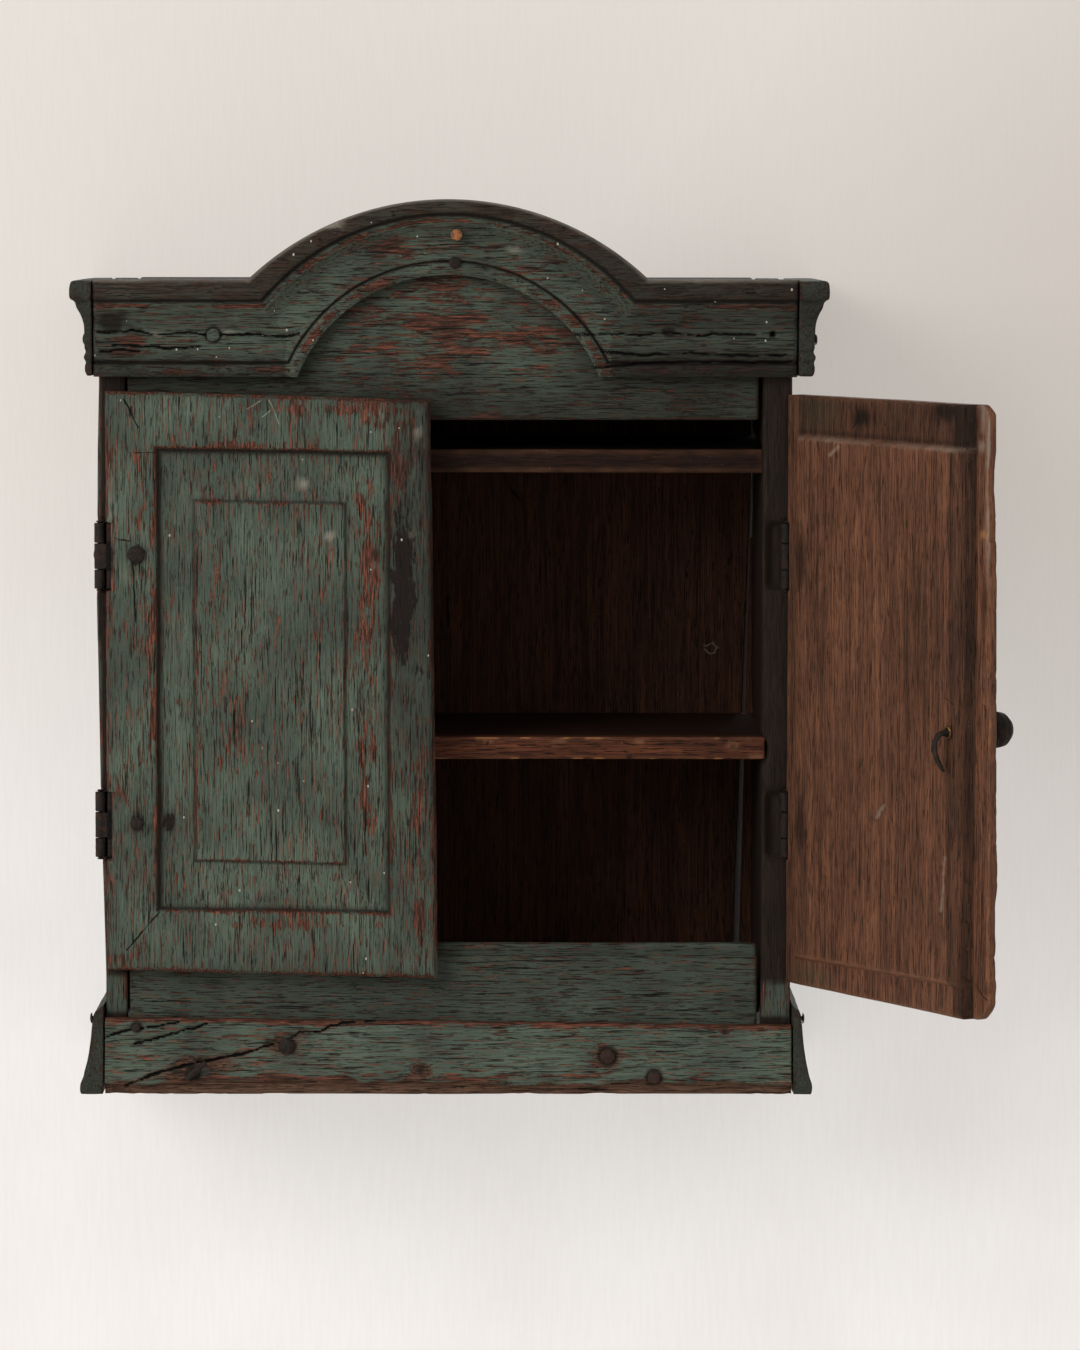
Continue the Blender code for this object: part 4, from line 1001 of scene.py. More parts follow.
# grime: the dark band just before the rebate's lip is painted shade
grime = (
    0.25 * np.exp(-((past / (1.5 * MM)) ** 2))
    + 0.62 * ease(past, -15 * MM, -11 * MM) * ease(past, 2 * MM, 0) * (0.5 + 0.5 * broken)
    + 0.5 * (1 - ease(field_top, -4 * MM, 1 * MM)) * across_field
    + 0.45 * np.exp(-(((field_top + 1.5 * MM) / (1.8 * MM)) ** 2)) * across_field
    + patch(all_a, all_b, on_right(856, 418), (12, 9), 0.7)
    + patch(all_a, all_b, on_right(938, 410), (20, 9), 0.6)
    + patch(all_a, all_b, on_right(915, 650), (40, 90), 0.35, 14 * MM)
    + patch(all_a, all_b, on_right(968, 612), (5, 34), 0.5)
    + patch(all_a, all_b, on_right(980, 990), (16, 10), 0.4)
    + patch(all_a, all_b, on_right(998, 870, REBATE_PLANE), (3.4, 90), 1.1)
    + patch(all_a, all_b, on_right(822, 640), (18, 60), 0.3, 14 * MM)
    + patch(all_a, all_b, on_right(800, 560), (9, 26), 0.7)
    + patch(all_a, all_b, on_right(800, 832), (9, 26), 0.7)
    + 0.35 * (1 - ease(all_a, 6 * MM, 40 * MM))
) * on_back
bare = patch(all_a, all_b, on_right(994, 732, REBATE_PLANE), (6, 19), 1.0) + patch(
    all_a, all_b, on_right(968, 535), (5, 4), 0.6
)
moss = (
    patch(all_a, all_b, on_right(812, 414), (34, 17), 1.0)
    + patch(all_a, all_b, on_right(806, 975), (28, 10), 0.8)
) * on_back
keep(mesh, worn=worn, grime=grime, dust=dust, bare=bare * on_back, moss=moss)
print("right door:", len(mesh.polygons), "faces")


def bored(mesh, name, start, end, radius):
    """The mesh with a round hole from start to end."""
    rough = bpy.data.objects.new(name + "_blank", mesh)
    cutter_mesh = bpy.data.meshes.new(name + "_bit")
    run = Vector(end) - Vector(start)
    shape = bmesh.new()
    bmesh.ops.create_cone(
        shape, cap_ends=True, segments=28, radius1=radius, radius2=radius, depth=run.length
    )
    shape.to_mesh(cutter_mesh)
    shape.free()
    cutter = bpy.data.objects.new(name + "_bit", cutter_mesh)
    cutter.matrix_world = Matrix.Translation((Vector(start) + Vector(end)) / 2) @ (
        run.to_track_quat("Z", "Y").to_matrix().to_4x4()
    )
    for item in (rough, cutter):
        bpy.context.scene.collection.objects.link(item)
    cut = rough.modifiers.new("bore", "BOOLEAN")
    cut.operation, cut.object, cut.solver = "DIFFERENCE", cutter, "EXACT"
    bpy.context.view_layer.update()
    ready = rough.evaluated_get(bpy.context.evaluated_depsgraph_get())
    result = bpy.data.meshes.new_from_object(ready)
    result.name = name
    for item in (rough, cutter):
        bpy.data.objects.remove(item)
    return result


RIGHT_FRONT_FACES = mesh["front_faces"]
numbers = np.zeros(len(mesh.polygons), np.int32)
numbers[RIGHT_FRONT_FACES:] = 1
right_scratches = [
    [tuple(seen_at(x, y, RIGHT_AXIS + TURN @ Vector((0, plane, 0)), TURN @ Vector((0, 1, 0))))
     for x, y in path]
    for plane, path in (
        (BACK, [(964, 400), (965, 420), (964, 445)]),
        (FIELD, [(957, 456), (956, 466), (958, 477)]),
        (REBATE_PLANE, [(984, 705), (988, 722), (991, 740), (995, 757)]),
        (REBATE_PLANE, [(976, 985), (982, 996), (990, 1003)]),
        (FIELD, [(928, 705), (929, 722), (928, 741)]),
        (FIELD, [(935, 703), (944, 697), (953, 704)]),
        (BACK, [(856, 408), (858, 420), (852, 428)]),
    )
]
right_rubs = [
    [tuple(seen_at(x, y, RIGHT_AXIS + TURN @ Vector((0, FIELD, 0)), TURN @ Vector((0, 1, 0))))
     for x, y in path]
    for path in (
        [(944, 858), (943, 880), (941, 912)],
        [(876, 818), (884, 806)],
        [(830, 455), (838, 447)],
    )
]
mesh.materials.append(worn_paint("distemper_on_right_door", "z", 5, 0.02))
mesh.materials.append(
    bare_wood(
        "bare_softwood_of_open_door", "z", 12, "#7f543d", "#38231b", "#3a2a22",
        marks=right_scratches, mark_width=0.9, rubs=right_rubs,
    )
)
mesh.polygons.foreach_set("material_index", numbers)
SPINDLE_AT = (216.5 * MM, 287 * MM)
hole_ends = [
    right_place(np.array([SPINDLE_AT[0]]), np.array([depth]), np.array([SPINDLE_AT[1]]))[0]
    for depth in (FACE - 10 * MM, FIELD + 10 * MM)
]
mesh = bored(mesh, "right_door_board", *hole_ends, 3.4 * MM)
right_door = stand_for(mesh, "right_door_board", "right_door")
print("right door after boring:", len(mesh.polygons), "faces", list(mesh.attributes.keys())[:9])

# %% [markdown]
# ## The cornice's front board
# One moulding runs straight along both legs and rises over the middle as an arch. Each
# line of the profile has its own arc, so the cove widens towards the crown, as carving by
# eye makes it. The grid's rows are lines of the profile and its columns cross them. A long
# crack opened along both legs where the cove meets the flat.

# %% Make the cornice's front board
CORNICE_FOOT = 534 * MM
CORNICE_ENDS = (-262 * MM, 257.8 * MM)
ARCH = np.array(  # height in the profile, half the chord and the crown, in mm
    [(0, 111.5, 75.3), (10, 118, 85.3), (52, 135.5, 115), (57.2, 138, 121.3), (72, 147.9, 131)]
)
CORNICE_PROFILE = np.array(  # height and projection in mm
    [
        (0, 11.2), (3.2, 12.9), (6.4, 13.3), (9, 12.4), (10.2, 10.2), (11.8, 12.3), (32.4, 13.3),
        (38, 12.9), (44, 13.9), (48, 16.2), (50.8, 18.4), (51.8, 17.9), (52.6, 19), (56, 19.6),
        (57.4, 22.5), (60, 23.5), (69.5, 23.2), (71.2, 21.8), (72, 19.6),
    ]
)
FRONT_PLANE = -0.232


def spread_between(values, step):
    """The values with evenly spaced ones added, no more than step apart."""
    parts = [
        np.linspace(low, high, max(1, math.ceil((high - low) / step)), endpoint=False)
        for low, high in zip(values, values[1:])
    ]
    return np.concatenate([*parts, values[-1:]])


heights = spread_between(CORNICE_PROFILE[:, 0], 1.0)
chords = np.interp(heights, ARCH[:, 0], ARCH[:, 1]) * MM
crowns = np.interp(heights, ARCH[:, 0], ARCH[:, 2]) * MM
rises = crowns - heights * MM
radii = (chords**2 + rises**2) / (2 * rises)
angles = np.arcsin(chords / radii)
swing = np.linspace(-1, 1, 170)
leg = np.linspace(0, 1, 76)[:-1]
columns = []
for chord, crown, radius, angle, height in zip(chords, crowns, radii, angles, heights * MM):
    turn = swing * angle
    left_leg = CORNICE_ENDS[0] + (-chord - CORNICE_ENDS[0]) * leg
    right_leg = chord + (CORNICE_ENDS[1] - chord) * (1 - leg[::-1])
    xs = np.concatenate([left_leg, radius * np.sin(turn), right_leg])
    arc = crown - radius * (1 - np.cos(turn))
    zs = np.concatenate([np.full(leg.size, height), arc, np.full(leg.size, height)])
    columns.append((xs, zs))
a = np.array([xs for xs, _ in columns])
b = np.array([zs for _, zs in columns]) + CORNICE_FOOT
row_height = np.repeat(heights[:, None], a.shape[1], axis=1) * MM
on_leg = np.abs(a) > chords[:, None] + 1 * MM


def cornice_marks(across, down):
    point = seen_at(across, down, (0, FRONT_PLANE - 13 * MM, 0))
    return point.x, point.z - FLOOR_OF_BASE


def distance_to(path, a, b):
    """Distance in metres from each point to a broken line of (a, b) points."""
    nearest = np.full(np.shape(a), 1.0)
    for (a0, b0), (a1, b1) in zip(path, path[1:]):
        run_a, run_b = a1 - a0, b1 - b0
        t = np.clip(((a - a0) * run_a + (b - b0) * run_b) / (run_a**2 + run_b**2), 0, 1)
        nearest = np.minimum(nearest, np.hypot(a - a0 - t * run_a, b - b0 - t * run_b))
    return nearest


CORNICE_CRACKS = [
    [(113, 345), (140, 346), (170, 348), (200, 347)],
    [(602, 352), (640, 355), (690, 353), (740, 356), (786, 355)],
    [(596, 368), (640, 364), (690, 362), (740, 363), (792, 362)],
    [(97, 333), (130, 331), (158, 334), (188, 333), (213, 335), (240, 334), (268, 336), (299, 335)],
    [(570, 336), (604, 334), (640, 335), (668, 333), (700, 335), (733, 334), (756, 335)],
    [(100, 352), (118, 350), (139, 351)],
]


def groove(paths, a, b, half, shake_seed):
    """A mask of a crack that swells and closes, half its width in metres."""
    points = sheet_points(a, b)
    shake = unevenness(points, 7 * MM, shake_seed) * 0.8 * MM
    shake += unevenness(points, 2.4 * MM, shake_seed + 2) * 0.5 * MM
    shake = shake.reshape(np.shape(a))
    swell = 0.6 + 0.4 * unevenness(points, 11 * MM, shake_seed + 1).reshape(np.shape(a))
    total = np.zeros(np.shape(a))
    for path in paths:
        total = np.maximum(total, 1 - ease(distance_to(path, a, b + shake), 0, half * swell + 1e-5))
    return total


crack_paths = [[cornice_marks(*pixel) for pixel in path] for path in CORNICE_CRACKS]
projection = np.interp(row_height, CORNICE_PROFILE[:, 0] * MM, CORNICE_PROFILE[:, 1] * MM)
fillet = ease(row_height, 56 * MM, 60 * MM)
bruised = np.clip(unevenness(sheet_points(a, b), 15 * MM, 83).reshape(a.shape), 0, 1)
projection -= ridges(a, b, 81, "a") * 0.9 + fillet * bruised * 2.2 * MM
projection -= groove(crack_paths, a, b, 1.9 * MM, 85) * 3.4 * MM
bead_nicks = np.clip(unevenness(sheet_points(a, b), 8 * MM, 84).reshape(a.shape) - 0.1, 0, 1)
projection -= 1.6 * MM * bead_nicks * (1 - ease(np.abs(row_height - 53 * MM), 1 * MM, 4 * MM))
projection -= 1.8 * MM * bead_nicks * (1 - ease(row_height, 8 * MM, 14 * MM))
hole_x, hole_z = 239.5 * MM, CORNICE_FOOT + 32 * MM
projection -= 7 * MM * (1 - ease(np.hypot(a - hole_x, b - hole_z), 1.0 * MM, 2.4 * MM))
ends = np.minimum(a - CORNICE_ENDS[0], CORNICE_ENDS[1] - a)
projection -= 1.6 * MM * (1 - ease(ends, 0, 3 * MM)) ** 2


def front_place(a, depth, b):
    return np.stack([a, FRONT_PLANE - depth, b + FLOOR_OF_BASE], 1)


mesh, all_a, all_b, sides = board_mesh(
    "cornice_front_moulding", a, b, projection, np.full(a.shape, 0.3 * MM), front_place
)
rim_rows = len(all_a) - 2 * a.size
wide = np.concatenate([row_height.ravel()] * 2 + [np.full(rim_rows, 36 * MM)])
broken = 0.5 + 0.5 * unevenness(sheet_points(all_a, all_b), (26 * MM, 1, 6 * MM), 87)
peg_away = np.hypot(all_a + 173.5 * MM, all_b - 565 * MM)
top_edge = np.exp(-(((wide - 71.4 * MM) / (1.2 * MM)) ** 2))
keep(
    mesh,
    worn=(
        0.15 * ease(wide, 55 * MM, 58 * MM)
        + 0.75 * np.exp(-(((wide - 52.4 * MM) / (1.4 * MM)) ** 2)) * broken
        + 0.6 * np.exp(-(((wide - 5 * MM) / (3.4 * MM)) ** 2)) * broken
        + 0.5 * np.exp(-(((wide - 11.6 * MM) / (1.4 * MM)) ** 2)) * broken
        + patch(all_a, all_b, cornice_marks(388, 251), (20, 9), 0.5)
        + patch(all_a, all_b, cornice_marks(130, 340), (14, 5), 0.6)
        + patch(all_a, all_b, cornice_marks(125, 352), (20, 4), 0.5)
    ),
    crack=groove(crack_paths, all_a, all_b, 1.6 * MM, 85),
    bare=ease(wide, 56.4 * MM, 58 * MM) * (0.55 + 0.4 * broken),
    # grime: the dark lines under the fillet and at the lower bead are painted shade under ledges; the crack,
    # the ring round the peg and the hole are grime
    grime=(
        0.3 * ease(wide, 57 * MM, 60 * MM) * (1 - broken)
        + 0.55 * np.exp(-(((wide - 55.8 * MM) / (1.6 * MM)) ** 2))
        + 0.9 * np.exp(-(((wide - 10.4 * MM) / (1.1 * MM)) ** 2))
        + 0.8 * np.exp(-(((wide - 56.6 * MM) / (1.1 * MM)) ** 2))
        + 0.9 * np.exp(-((((peg_away - 5.4 * MM)) / (0.9 * MM)) ** 2))
        + 0.25 * np.exp(-(((wide - 40 * MM) / (7 * MM)) ** 2))
        + 0.45 * (1 - ease(wide, 8 * MM, 30 * MM)) * (np.abs(all_a) > 120 * MM)
        + 0.25 * ease(all_a, 60 * MM, 150 * MM)
        + groove(crack_paths, all_a, all_b, 1.2 * MM, 85)
        + patch(all_a, all_b, cornice_marks(112, 320), (14, 9), 0.8)
        + patch(all_a, all_b, cornice_marks(668, 333), (5, 4), 0.9)
        + 0.9 * (1 - ease(np.hypot(all_a - hole_x, all_b - hole_z), 1.6 * MM, 3 * MM))
    ),
    dust=(
        0.7 * top_edge * (0.5 + 0.5 * broken)
        + patch(all_a, all_b, cornice_marks(158, 334), (5, 2), 0.7, 3 * MM)
        + patch(all_a, all_b, cornice_marks(229, 333), (5, 2), 0.7, 3 * MM)
        + patch(all_a, all_b, cornice_marks(514, 250), (5, 3), 0.6, 3 * MM)
        + patch(all_a, all_b, cornice_marks(331, 224), (9, 3), 1.2, 3 * MM) * (sides < -0.5)
    ),
)
cornice_front = stand_for(mesh, "cornice_front_moulding", "cornice_front")
cornice_paint = worn_paint(
    "distemper_on_cornice", "x", 7, 0.0, 0.26, raw=("#1d140f", "#49372b"), flake=(4.5, 24)
)
cornice_front.data.materials.append(cornice_paint)
print("cornice front:", len(mesh.polygons), "faces")

# %% [markdown]
# ## The base's front board
# The lowest moulding has had the hardest life. Its foot is broken off to raw wood, and a
# crack wanders from the bent nail along the grain past the big one. The faces here are a
# plain fine grid, because cracks and breaks cross every line of the moulding.

# %% Make the base's front board
BASE_PROFILE = np.array(
    [
        (0, 16.6), (3.2, 17.4), (6.4, 17.4), (9.5, 16.6), (13.5, 15), (17, 14.2), (25, 12.4),
        (33.5, 11), (42, 10), (50, 9.4), (58, 8.6),
    ]
)
BASE_CRACKS = [
    [(126, 1085), (150, 1075), (167, 1070), (182, 1067), (215, 1060), (240, 1054), (262, 1048),
     (272, 1045), (287, 1043), (300, 1033), (323, 1032), (330, 1026), (345, 1024), (375, 1021)],
    [(103, 1040), (117, 1034), (130, 1030)],
    [(140, 1029), (160, 1027), (178, 1023)],
    [(132, 1045), (168, 1036), (207, 1025)],
]
BREAKS = [  # pixel, half size in mm, depth in mm and rawness
    ((205, 1064), (24, 5), 3.4, 1.0), ((285, 1047), (14, 7.5), 1.6, 0.9),
    ((422, 1069), (8, 6), 3.6, 1.0), ((412, 1079), (5, 3), 1.0, 0.9),
    ((608, 1057), (11, 9), 0.6, 1.0), ((654, 1083), (9, 7), 0.6, 0.7),
    ((116, 1089), (12, 6), 2.5, 1.0), ((725, 1033), (3, 2.5), 1.4, 0.4),
    ((274, 1075), (1.6, 1.6), 1.5, 0.2), ((182, 1076), (8, 4), 2.0, 0.8),
]


def on_base(across, down):
    point = seen_at(across, down, (0, FRONT_PLANE - 13 * MM, 0))
    return point.x, point.z - FLOOR_OF_BASE


xs = np.arange(-255.5 * MM, 255.31 * MM, 1.28 * MM)
rows = np.linspace(0, 1, 46)
foot_line = 0.2 * MM + 1.3 * MM * np.clip(wander(xs, 19 * MM, 91, 1.0), 0, 2)
head_line = 57.4 * MM - 5.6 * MM * (xs + 0.2555) / 0.511 - 0.8 * MM * (1 + wander(xs, 40 * MM, 92, 0.5))
a = np.repeat(xs[None, :], rows.size, axis=0)
b = foot_line[None, :] + (head_line - foot_line)[None, :] * rows[:, None]
break_paths = [[on_base(*pixel) for pixel in path] for path in BASE_CRACKS]
broken_to = 9.2 * MM + 2.6 * MM * wander(a, 34 * MM, 93, 1.0)
projection = np.interp(b, BASE_PROFILE[:, 0] * MM, BASE_PROFILE[:, 1] * MM)
raw = ease(b - broken_to, 0.5 * MM, -0.9 * MM)
torn = 12.4 * MM - 1.2 * MM * (
    1 + unevenness(sheet_points(a, b), (30 * MM, 1, 1.8 * MM), 94).reshape(a.shape)
)
projection = projection * (1 - raw) + np.minimum(torn, projection) * raw
for pixel, half, depth, _ in BREAKS:
    rough = 0.75 + 0.25 * unevenness(sheet_points(a, b), (12 * MM, 1, 2 * MM), 95).reshape(a.shape)
    projection -= patch(a.ravel(), b.ravel(), on_base(*pixel), half).reshape(a.shape) * depth * MM * rough
projection -= ridges(a, b, 96, "a") * 0.8
projection -= groove(break_paths, a, b, 1.7 * MM, 97) * 3.4 * MM
projection -= 1.8 * MM * (1 - ease(head_line[None, :] - b, 0, 3 * MM)) ** 2
projection = np.clip(projection, 2 * MM, 17.2 * MM)
mesh, all_a, all_b, sides = board_mesh(
    "base_front_moulding", a, b, projection, np.full(a.shape, 0.3 * MM), front_place
)
limit = 9.2 * MM + 2.6 * MM * wander(all_a, 34 * MM, 93, 1.0)
top_at = np.interp(all_a, xs, head_line)
broken = 0.5 + 0.5 * unevenness(sheet_points(all_a, all_b), (26 * MM, 1, 6 * MM), 98)
bare = ease(all_b - limit, 0.6 * MM, -0.8 * MM)
worn = (
    0.85 * (1 - ease(top_at - all_b, 1 * MM, 5.5 * MM)) * (0.45 + 0.55 * broken)
    + 0.6 * np.exp(-(((all_b - limit - 1.2 * MM) / (1.6 * MM)) ** 2)) * broken
    + 0.5 * np.exp(-(((all_b - 14 * MM) / (2.4 * MM)) ** 2)) * broken
    + patch(all_a, all_b, on_base(215, 1018), (12, 3), 0.6)
)
bare += 1.1 * groove(break_paths[:1], all_a, all_b, 5.4 * MM, 97)
nail_stain = np.zeros(len(all_a))
for x, z, radius in (
    (-232, 50, 3.4), (-120, 36, 4.6), (118.5, 28.5, 6.2), (153, 13, 5.2), (-190, 16, 4.6),
):
    away = np.hypot(all_a - x * MM, all_b - z * MM)
    nail_stain += 1.1 * (1 - ease(away, radius * MM, (radius * 1.3 + 1.6) * MM))
for pixel, half, _, rawness in BREAKS:
    bare = bare + patch(all_a, all_b, on_base(*pixel), [side * 1.12 for side in half], rawness)
    worn = worn + patch(all_a, all_b, on_base(*pixel), [side * 1.5 for side in half], 0.4)
keep(
    mesh,
    worn=worn,
    bare=bare,
    crack=np.maximum(
        groove(break_paths[:1], all_a, all_b, 2.5 * MM, 97),
        groove(break_paths[1:], all_a, all_b, 1.5 * MM, 97),
    ),
    grime=(
        groove(break_paths, all_a, all_b, 2.2 * MM, 97) * 0.5
        + nail_stain
        + 0.5 * np.exp(-(((all_b - 12.2 * MM) / (1.3 * MM)) ** 2)) * broken
        + patch(all_a, all_b, on_base(725, 1033), (3, 2.5), 1.0)
        + patch(all_a, all_b, on_base(421, 1069), (5, 4), 1.3, 3 * MM)
        + patch(all_a, all_b, on_base(270, 1042), (5, 3), 1.0, 3 * MM)
        + patch(all_a, all_b, on_base(178, 1072), (7, 3), 1.0, 3 * MM)
    ),
)
base_front = stand_for(mesh, "base_front_moulding", "base_front")
print("base front:", len(mesh.polygons), "faces")

# %% Paint the base's front board
base_paint = worn_paint(
    "distemper_on_base", "x", 9, -0.06, 0.0, raw=("#33231a", "#6e5140")
)
base_front.data.materials.append(base_paint)
print("base paint nodes:", len(base_paint.node_tree.nodes))

# %% [markdown]
# ## Boards worn by use, iron marked by the hammer
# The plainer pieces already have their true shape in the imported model, with edges too
# sharp and faces too flat. A copy is remeshed into small even cells and smoothed, which
# rounds every edge. Geometry Nodes then press a pattern of noise into it: long shallow
# waves for planed wood, short facets for forged iron. How far a point lies from the
# average of its neighbourhood tells arrises from corners, so the finish can wear the
# first and darken the second.

# %% A tree that presses marks into a surface
def marking_tree():
    """Geometry Nodes that move each point inwards by noise and set the material."""
    tree = bpy.data.node_groups.new("tool_marks", "GeometryNodeTree")
    face = tree.interface
    face.new_socket("Geometry", in_out="INPUT", socket_type="NodeSocketGeometry")
    for name, kind in (
        ("Mark Size", "NodeSocketVector"), ("Mark Depth", "NodeSocketFloat"),
        ("Seed", "NodeSocketFloat"), ("Finish", "NodeSocketMaterial"),
    ):
        face.new_socket(name, in_out="INPUT", socket_type=kind)
    face.new_socket("Geometry", in_out="OUTPUT", socket_type="NodeSocketGeometry")
    given = add(tree, "NodeGroupInput", {})
    where = add(tree, "GeometryNodeInputPosition", {})
    scaled = add(
        tree, "ShaderNodeVectorMath", {0: where.outputs[0], 1: given.outputs["Mark Size"]},
        operation="DIVIDE",
    )
    noise = add(
        tree, "ShaderNodeTexNoise",
        {"Vector": scaled.outputs[0], "W": given.outputs["Seed"], "Scale": 1.0, "Detail": 1.5},
        noise_dimensions="4D",
    )
    depth = add(
        tree, "ShaderNodeMath", {0: noise.outputs[0], 1: given.outputs["Mark Depth"]},
        operation="MULTIPLY",
    )
    inwards = add(tree, "ShaderNodeMath", {0: depth.outputs[0], 1: -1.0}, operation="MULTIPLY")
    normal = add(tree, "GeometryNodeInputNormal", {})
    offset = add(
        tree, "ShaderNodeVectorMath", {0: normal.outputs[0], "Scale": inwards.outputs[0]},
        operation="SCALE",
    )
    moved = add(
        tree, "GeometryNodeSetPosition",
        {"Geometry": given.outputs["Geometry"], "Offset": offset.outputs[0]},
    )
    finished = add(
        tree, "GeometryNodeSetMaterial",
        {"Geometry": moved.outputs[0], "Material": given.outputs["Finish"]},
    )
    add(tree, "NodeGroupOutput", {0: finished.outputs[0]})
    return tree


MARKS = marking_tree()
MARK_INPUTS = {
    item.name: item.identifier for item in MARKS.interface.items_tree if item.in_out == "INPUT"
}
print("inputs of the marking tree:", MARK_INPUTS)


# %% Remesh, mark and measure a piece
def neighbour_mean(values, first, second, count):
    total = np.zeros_like(values)
    for axis in range(3):
        total[:, axis] = np.bincount(first, values[second, axis], len(values)) + np.bincount(
            second, values[first, axis], len(values)
        )
    return total / count[:, None]


def worn_copy(node, slot, finish, cell, marks, depth, seed, smoothing=2, reach=6, **extra):
    """A remeshed copy of a CAD node with worn edges; sizes in mm.

    Each value in extra is a function of the (n, 3) places and normals that adds to the
    attribute of that name.
    """
    source = bpy.data.meshes.new(node + "_source")
    shape = bmesh.new()
    shape.from_mesh(NODES[node].data)
    bmesh.ops.remove_doubles(shape, verts=shape.verts, dist=0.01 * MM)
    shape.to_mesh(source)
    shape.free()
    blank = bpy.data.objects.new(node + "_blank", source)
    bpy.context.scene.collection.objects.link(blank)
    remesh = blank.modifiers.new("cells", "REMESH")
    remesh.mode, remesh.voxel_size, remesh.use_smooth_shade = "VOXEL", cell * MM, True
    smooth = blank.modifiers.new("wear", "SMOOTH")
    smooth.factor, smooth.iterations = 0.5, smoothing
    press = blank.modifiers.new("marks", "NODES")
    press.node_group = MARKS
    press[MARK_INPUTS["Mark Size"]] = [size * MM for size in marks]
    press[MARK_INPUTS["Mark Depth"]] = depth * MM
    press[MARK_INPUTS["Seed"]] = float(seed)
    press[MARK_INPUTS["Finish"]] = finish
    bpy.context.view_layer.update()
    ready = blank.evaluated_get(bpy.context.evaluated_depsgraph_get())
    mesh = bpy.data.meshes.new_from_object(ready)
    mesh.name = node + "_worn"
    bpy.data.objects.remove(blank)

    count = len(mesh.vertices)
    places = np.empty(count * 3)
    mesh.vertices.foreach_get("co", places)
    places = places.reshape(-1, 3)
    normals = np.empty(count * 3)
    mesh.vertices.foreach_get("normal", normals)
    normals = normals.reshape(-1, 3)
    edges = np.empty(len(mesh.edges) * 2, np.int32)
    mesh.edges.foreach_get("vertices", edges)
    first, second = edges.reshape(-1, 2).T
    degree = np.maximum(np.bincount(edges, minlength=count), 1)
    mean = places
    for _ in range(reach):
        mean = neighbour_mean(mean, first, second, degree)
    bend = np.einsum("ij,ij->i", mean - places, normals) / (cell * MM)
    broken = 0.6 + 0.4 * unevenness(places, 9 * MM, seed)
    values = {
        "worn": np.clip(-bend * 1.5 - 0.25, 0, 1) * broken,
        # hollows are darkened: grime and painted shade in corners
        "grime": np.clip(bend * 1.6 - 0.2, 0, 1),
    }
    for name, rule in extra.items():
        values[name] = values.get(name, 0) + rule(places, normals)
    keep(mesh, **values)
    piece = stand_for(mesh, node + "_worn", node)
    return piece


def height_of(places):
    return places[:, 2] - FLOOR_OF_BASE


# %% [markdown]
# ## The rest of the woodwork
# The side boards are green outside and bare within. Their front edges were covered by the
# doors, so they are nearly black, except for short stretches below the doors that caught
# some paint. The rail, the frieze board and the mouldings along the sides share the green,
# more worn. Shelves are bare red-brown softwood with bruised front edges.

# %% Wear the painted boards
def under_doors(side):
    """Bare inner faces and edges of a side board; paint low on its front edge."""
    def rule(places, normals):
        heights = height_of(places)
        outward = normals[:, 0] * (-1 if side == "left" else 1)
        low, high = (60, 89) if side == "left" else (56, 84)
        edge = ease(places[:, 1], -0.228, -0.231)
        missed = unevenness(places, 5 * MM, 17) * 1.6 * MM
        painted_edge = edge * ease(heights + missed, low * MM, (low + 2) * MM) * ease(
            heights + missed, high * MM, (high - 3) * MM
        )
        outside = ease(outward, 0.3, 0.7) * (np.abs(places[:, 0]) > 0.2525)
        return 1 - np.maximum(outside, painted_edge)
    return rule


side_paint = worn_paint("distemper_on_sides", "z", 11, 0.0, 0.25)
moulding_paint = worn_paint("distemper_on_side_mouldings", "y", 13, 0.04, 0.66)
rail_paint = worn_paint("distemper_on_rail", "x", 15, -0.08, 0.34)
# the frieze's overall darkening is painted shade under the cornice
frieze_paint = worn_paint("distemper_on_frieze", "x", 17, 0.02, 0.26, flake=(6, 26))
for side in ("left", "right"):
    worn_copy(
        f"{side}_side", "painted_wood", side_paint, 3, (40, 40, 200), 0.9, 3,
        bare=under_doors(side),
    )
worn_copy("bottom_rail", "painted_wood", rail_paint, 2.2, (160, 30, 30), 1.4, 5, 1)


def tympanum_wear(places, normals):
    """Red patches in the middle of the arch, where hands reached for the doors."""
    point = seen_at(468, 330, (0, FRONT_PLANE, 0))
    return 0.36 * spot(places[:, 0], places[:, 2], (point.x, point.z), (95 * MM, 34 * MM))


def tympanum_painted_shade(places, normals):
    """Painted shade: the frieze board is darker low down and close under the arch, where the cornice shades
    it.
    """
    heights = height_of(places)
    low = 1 - ease(heights, 508 * MM, 552 * MM)
    reach = np.hypot(places[:, 0], (heights - CORNICE_FOOT) * 1.25)
    return 0.55 * low + 0.5 * ease(reach, 78 * MM, 112 * MM) * (1 - low)


worn_copy(
    "frieze_board", "painted_wood", frieze_paint, 2.2, (160, 30, 26), 1.2, 6, 1,
    worn=tympanum_wear, grime=tympanum_painted_shade,
)
for side in ("left", "right"):
    worn_copy(
        f"cornice_{side}_return", "painted_wood", moulding_paint, 1.35, (20, 60, 20), 1.0, 7, 1,
    )
    worn_copy(
        f"base_{side}_return", "painted_wood", moulding_paint, 1.35, (20, 60, 20), 1.2, 8, 2,
    )
print("painted boards are worn")


# %% Wear the shelves
SHELF_CHIPS = [  # pixel on the middle shelf's front edge, and half size in mm
    ((487, 742), (4, 2.5)), ((733, 745), (5, 3)), ((757, 757), (6, 4)), ((560, 741), (7, 2)),
    ((640, 742), (5, 2)), ((700, 760), (6, 2)),
]


def shelf_bruises(places, normals):
    total = np.zeros(len(places))
    front = ease(places[:, 1], -0.205, -0.213)
    for pixel, half in SHELF_CHIPS:
        point = seen_at(*pixel, (0, -0.215, 0))
        total += patch(
            places[:, 0], places[:, 2], (point.x, point.z), half, 0.8, 3 * MM, 29
        )
    return total * front


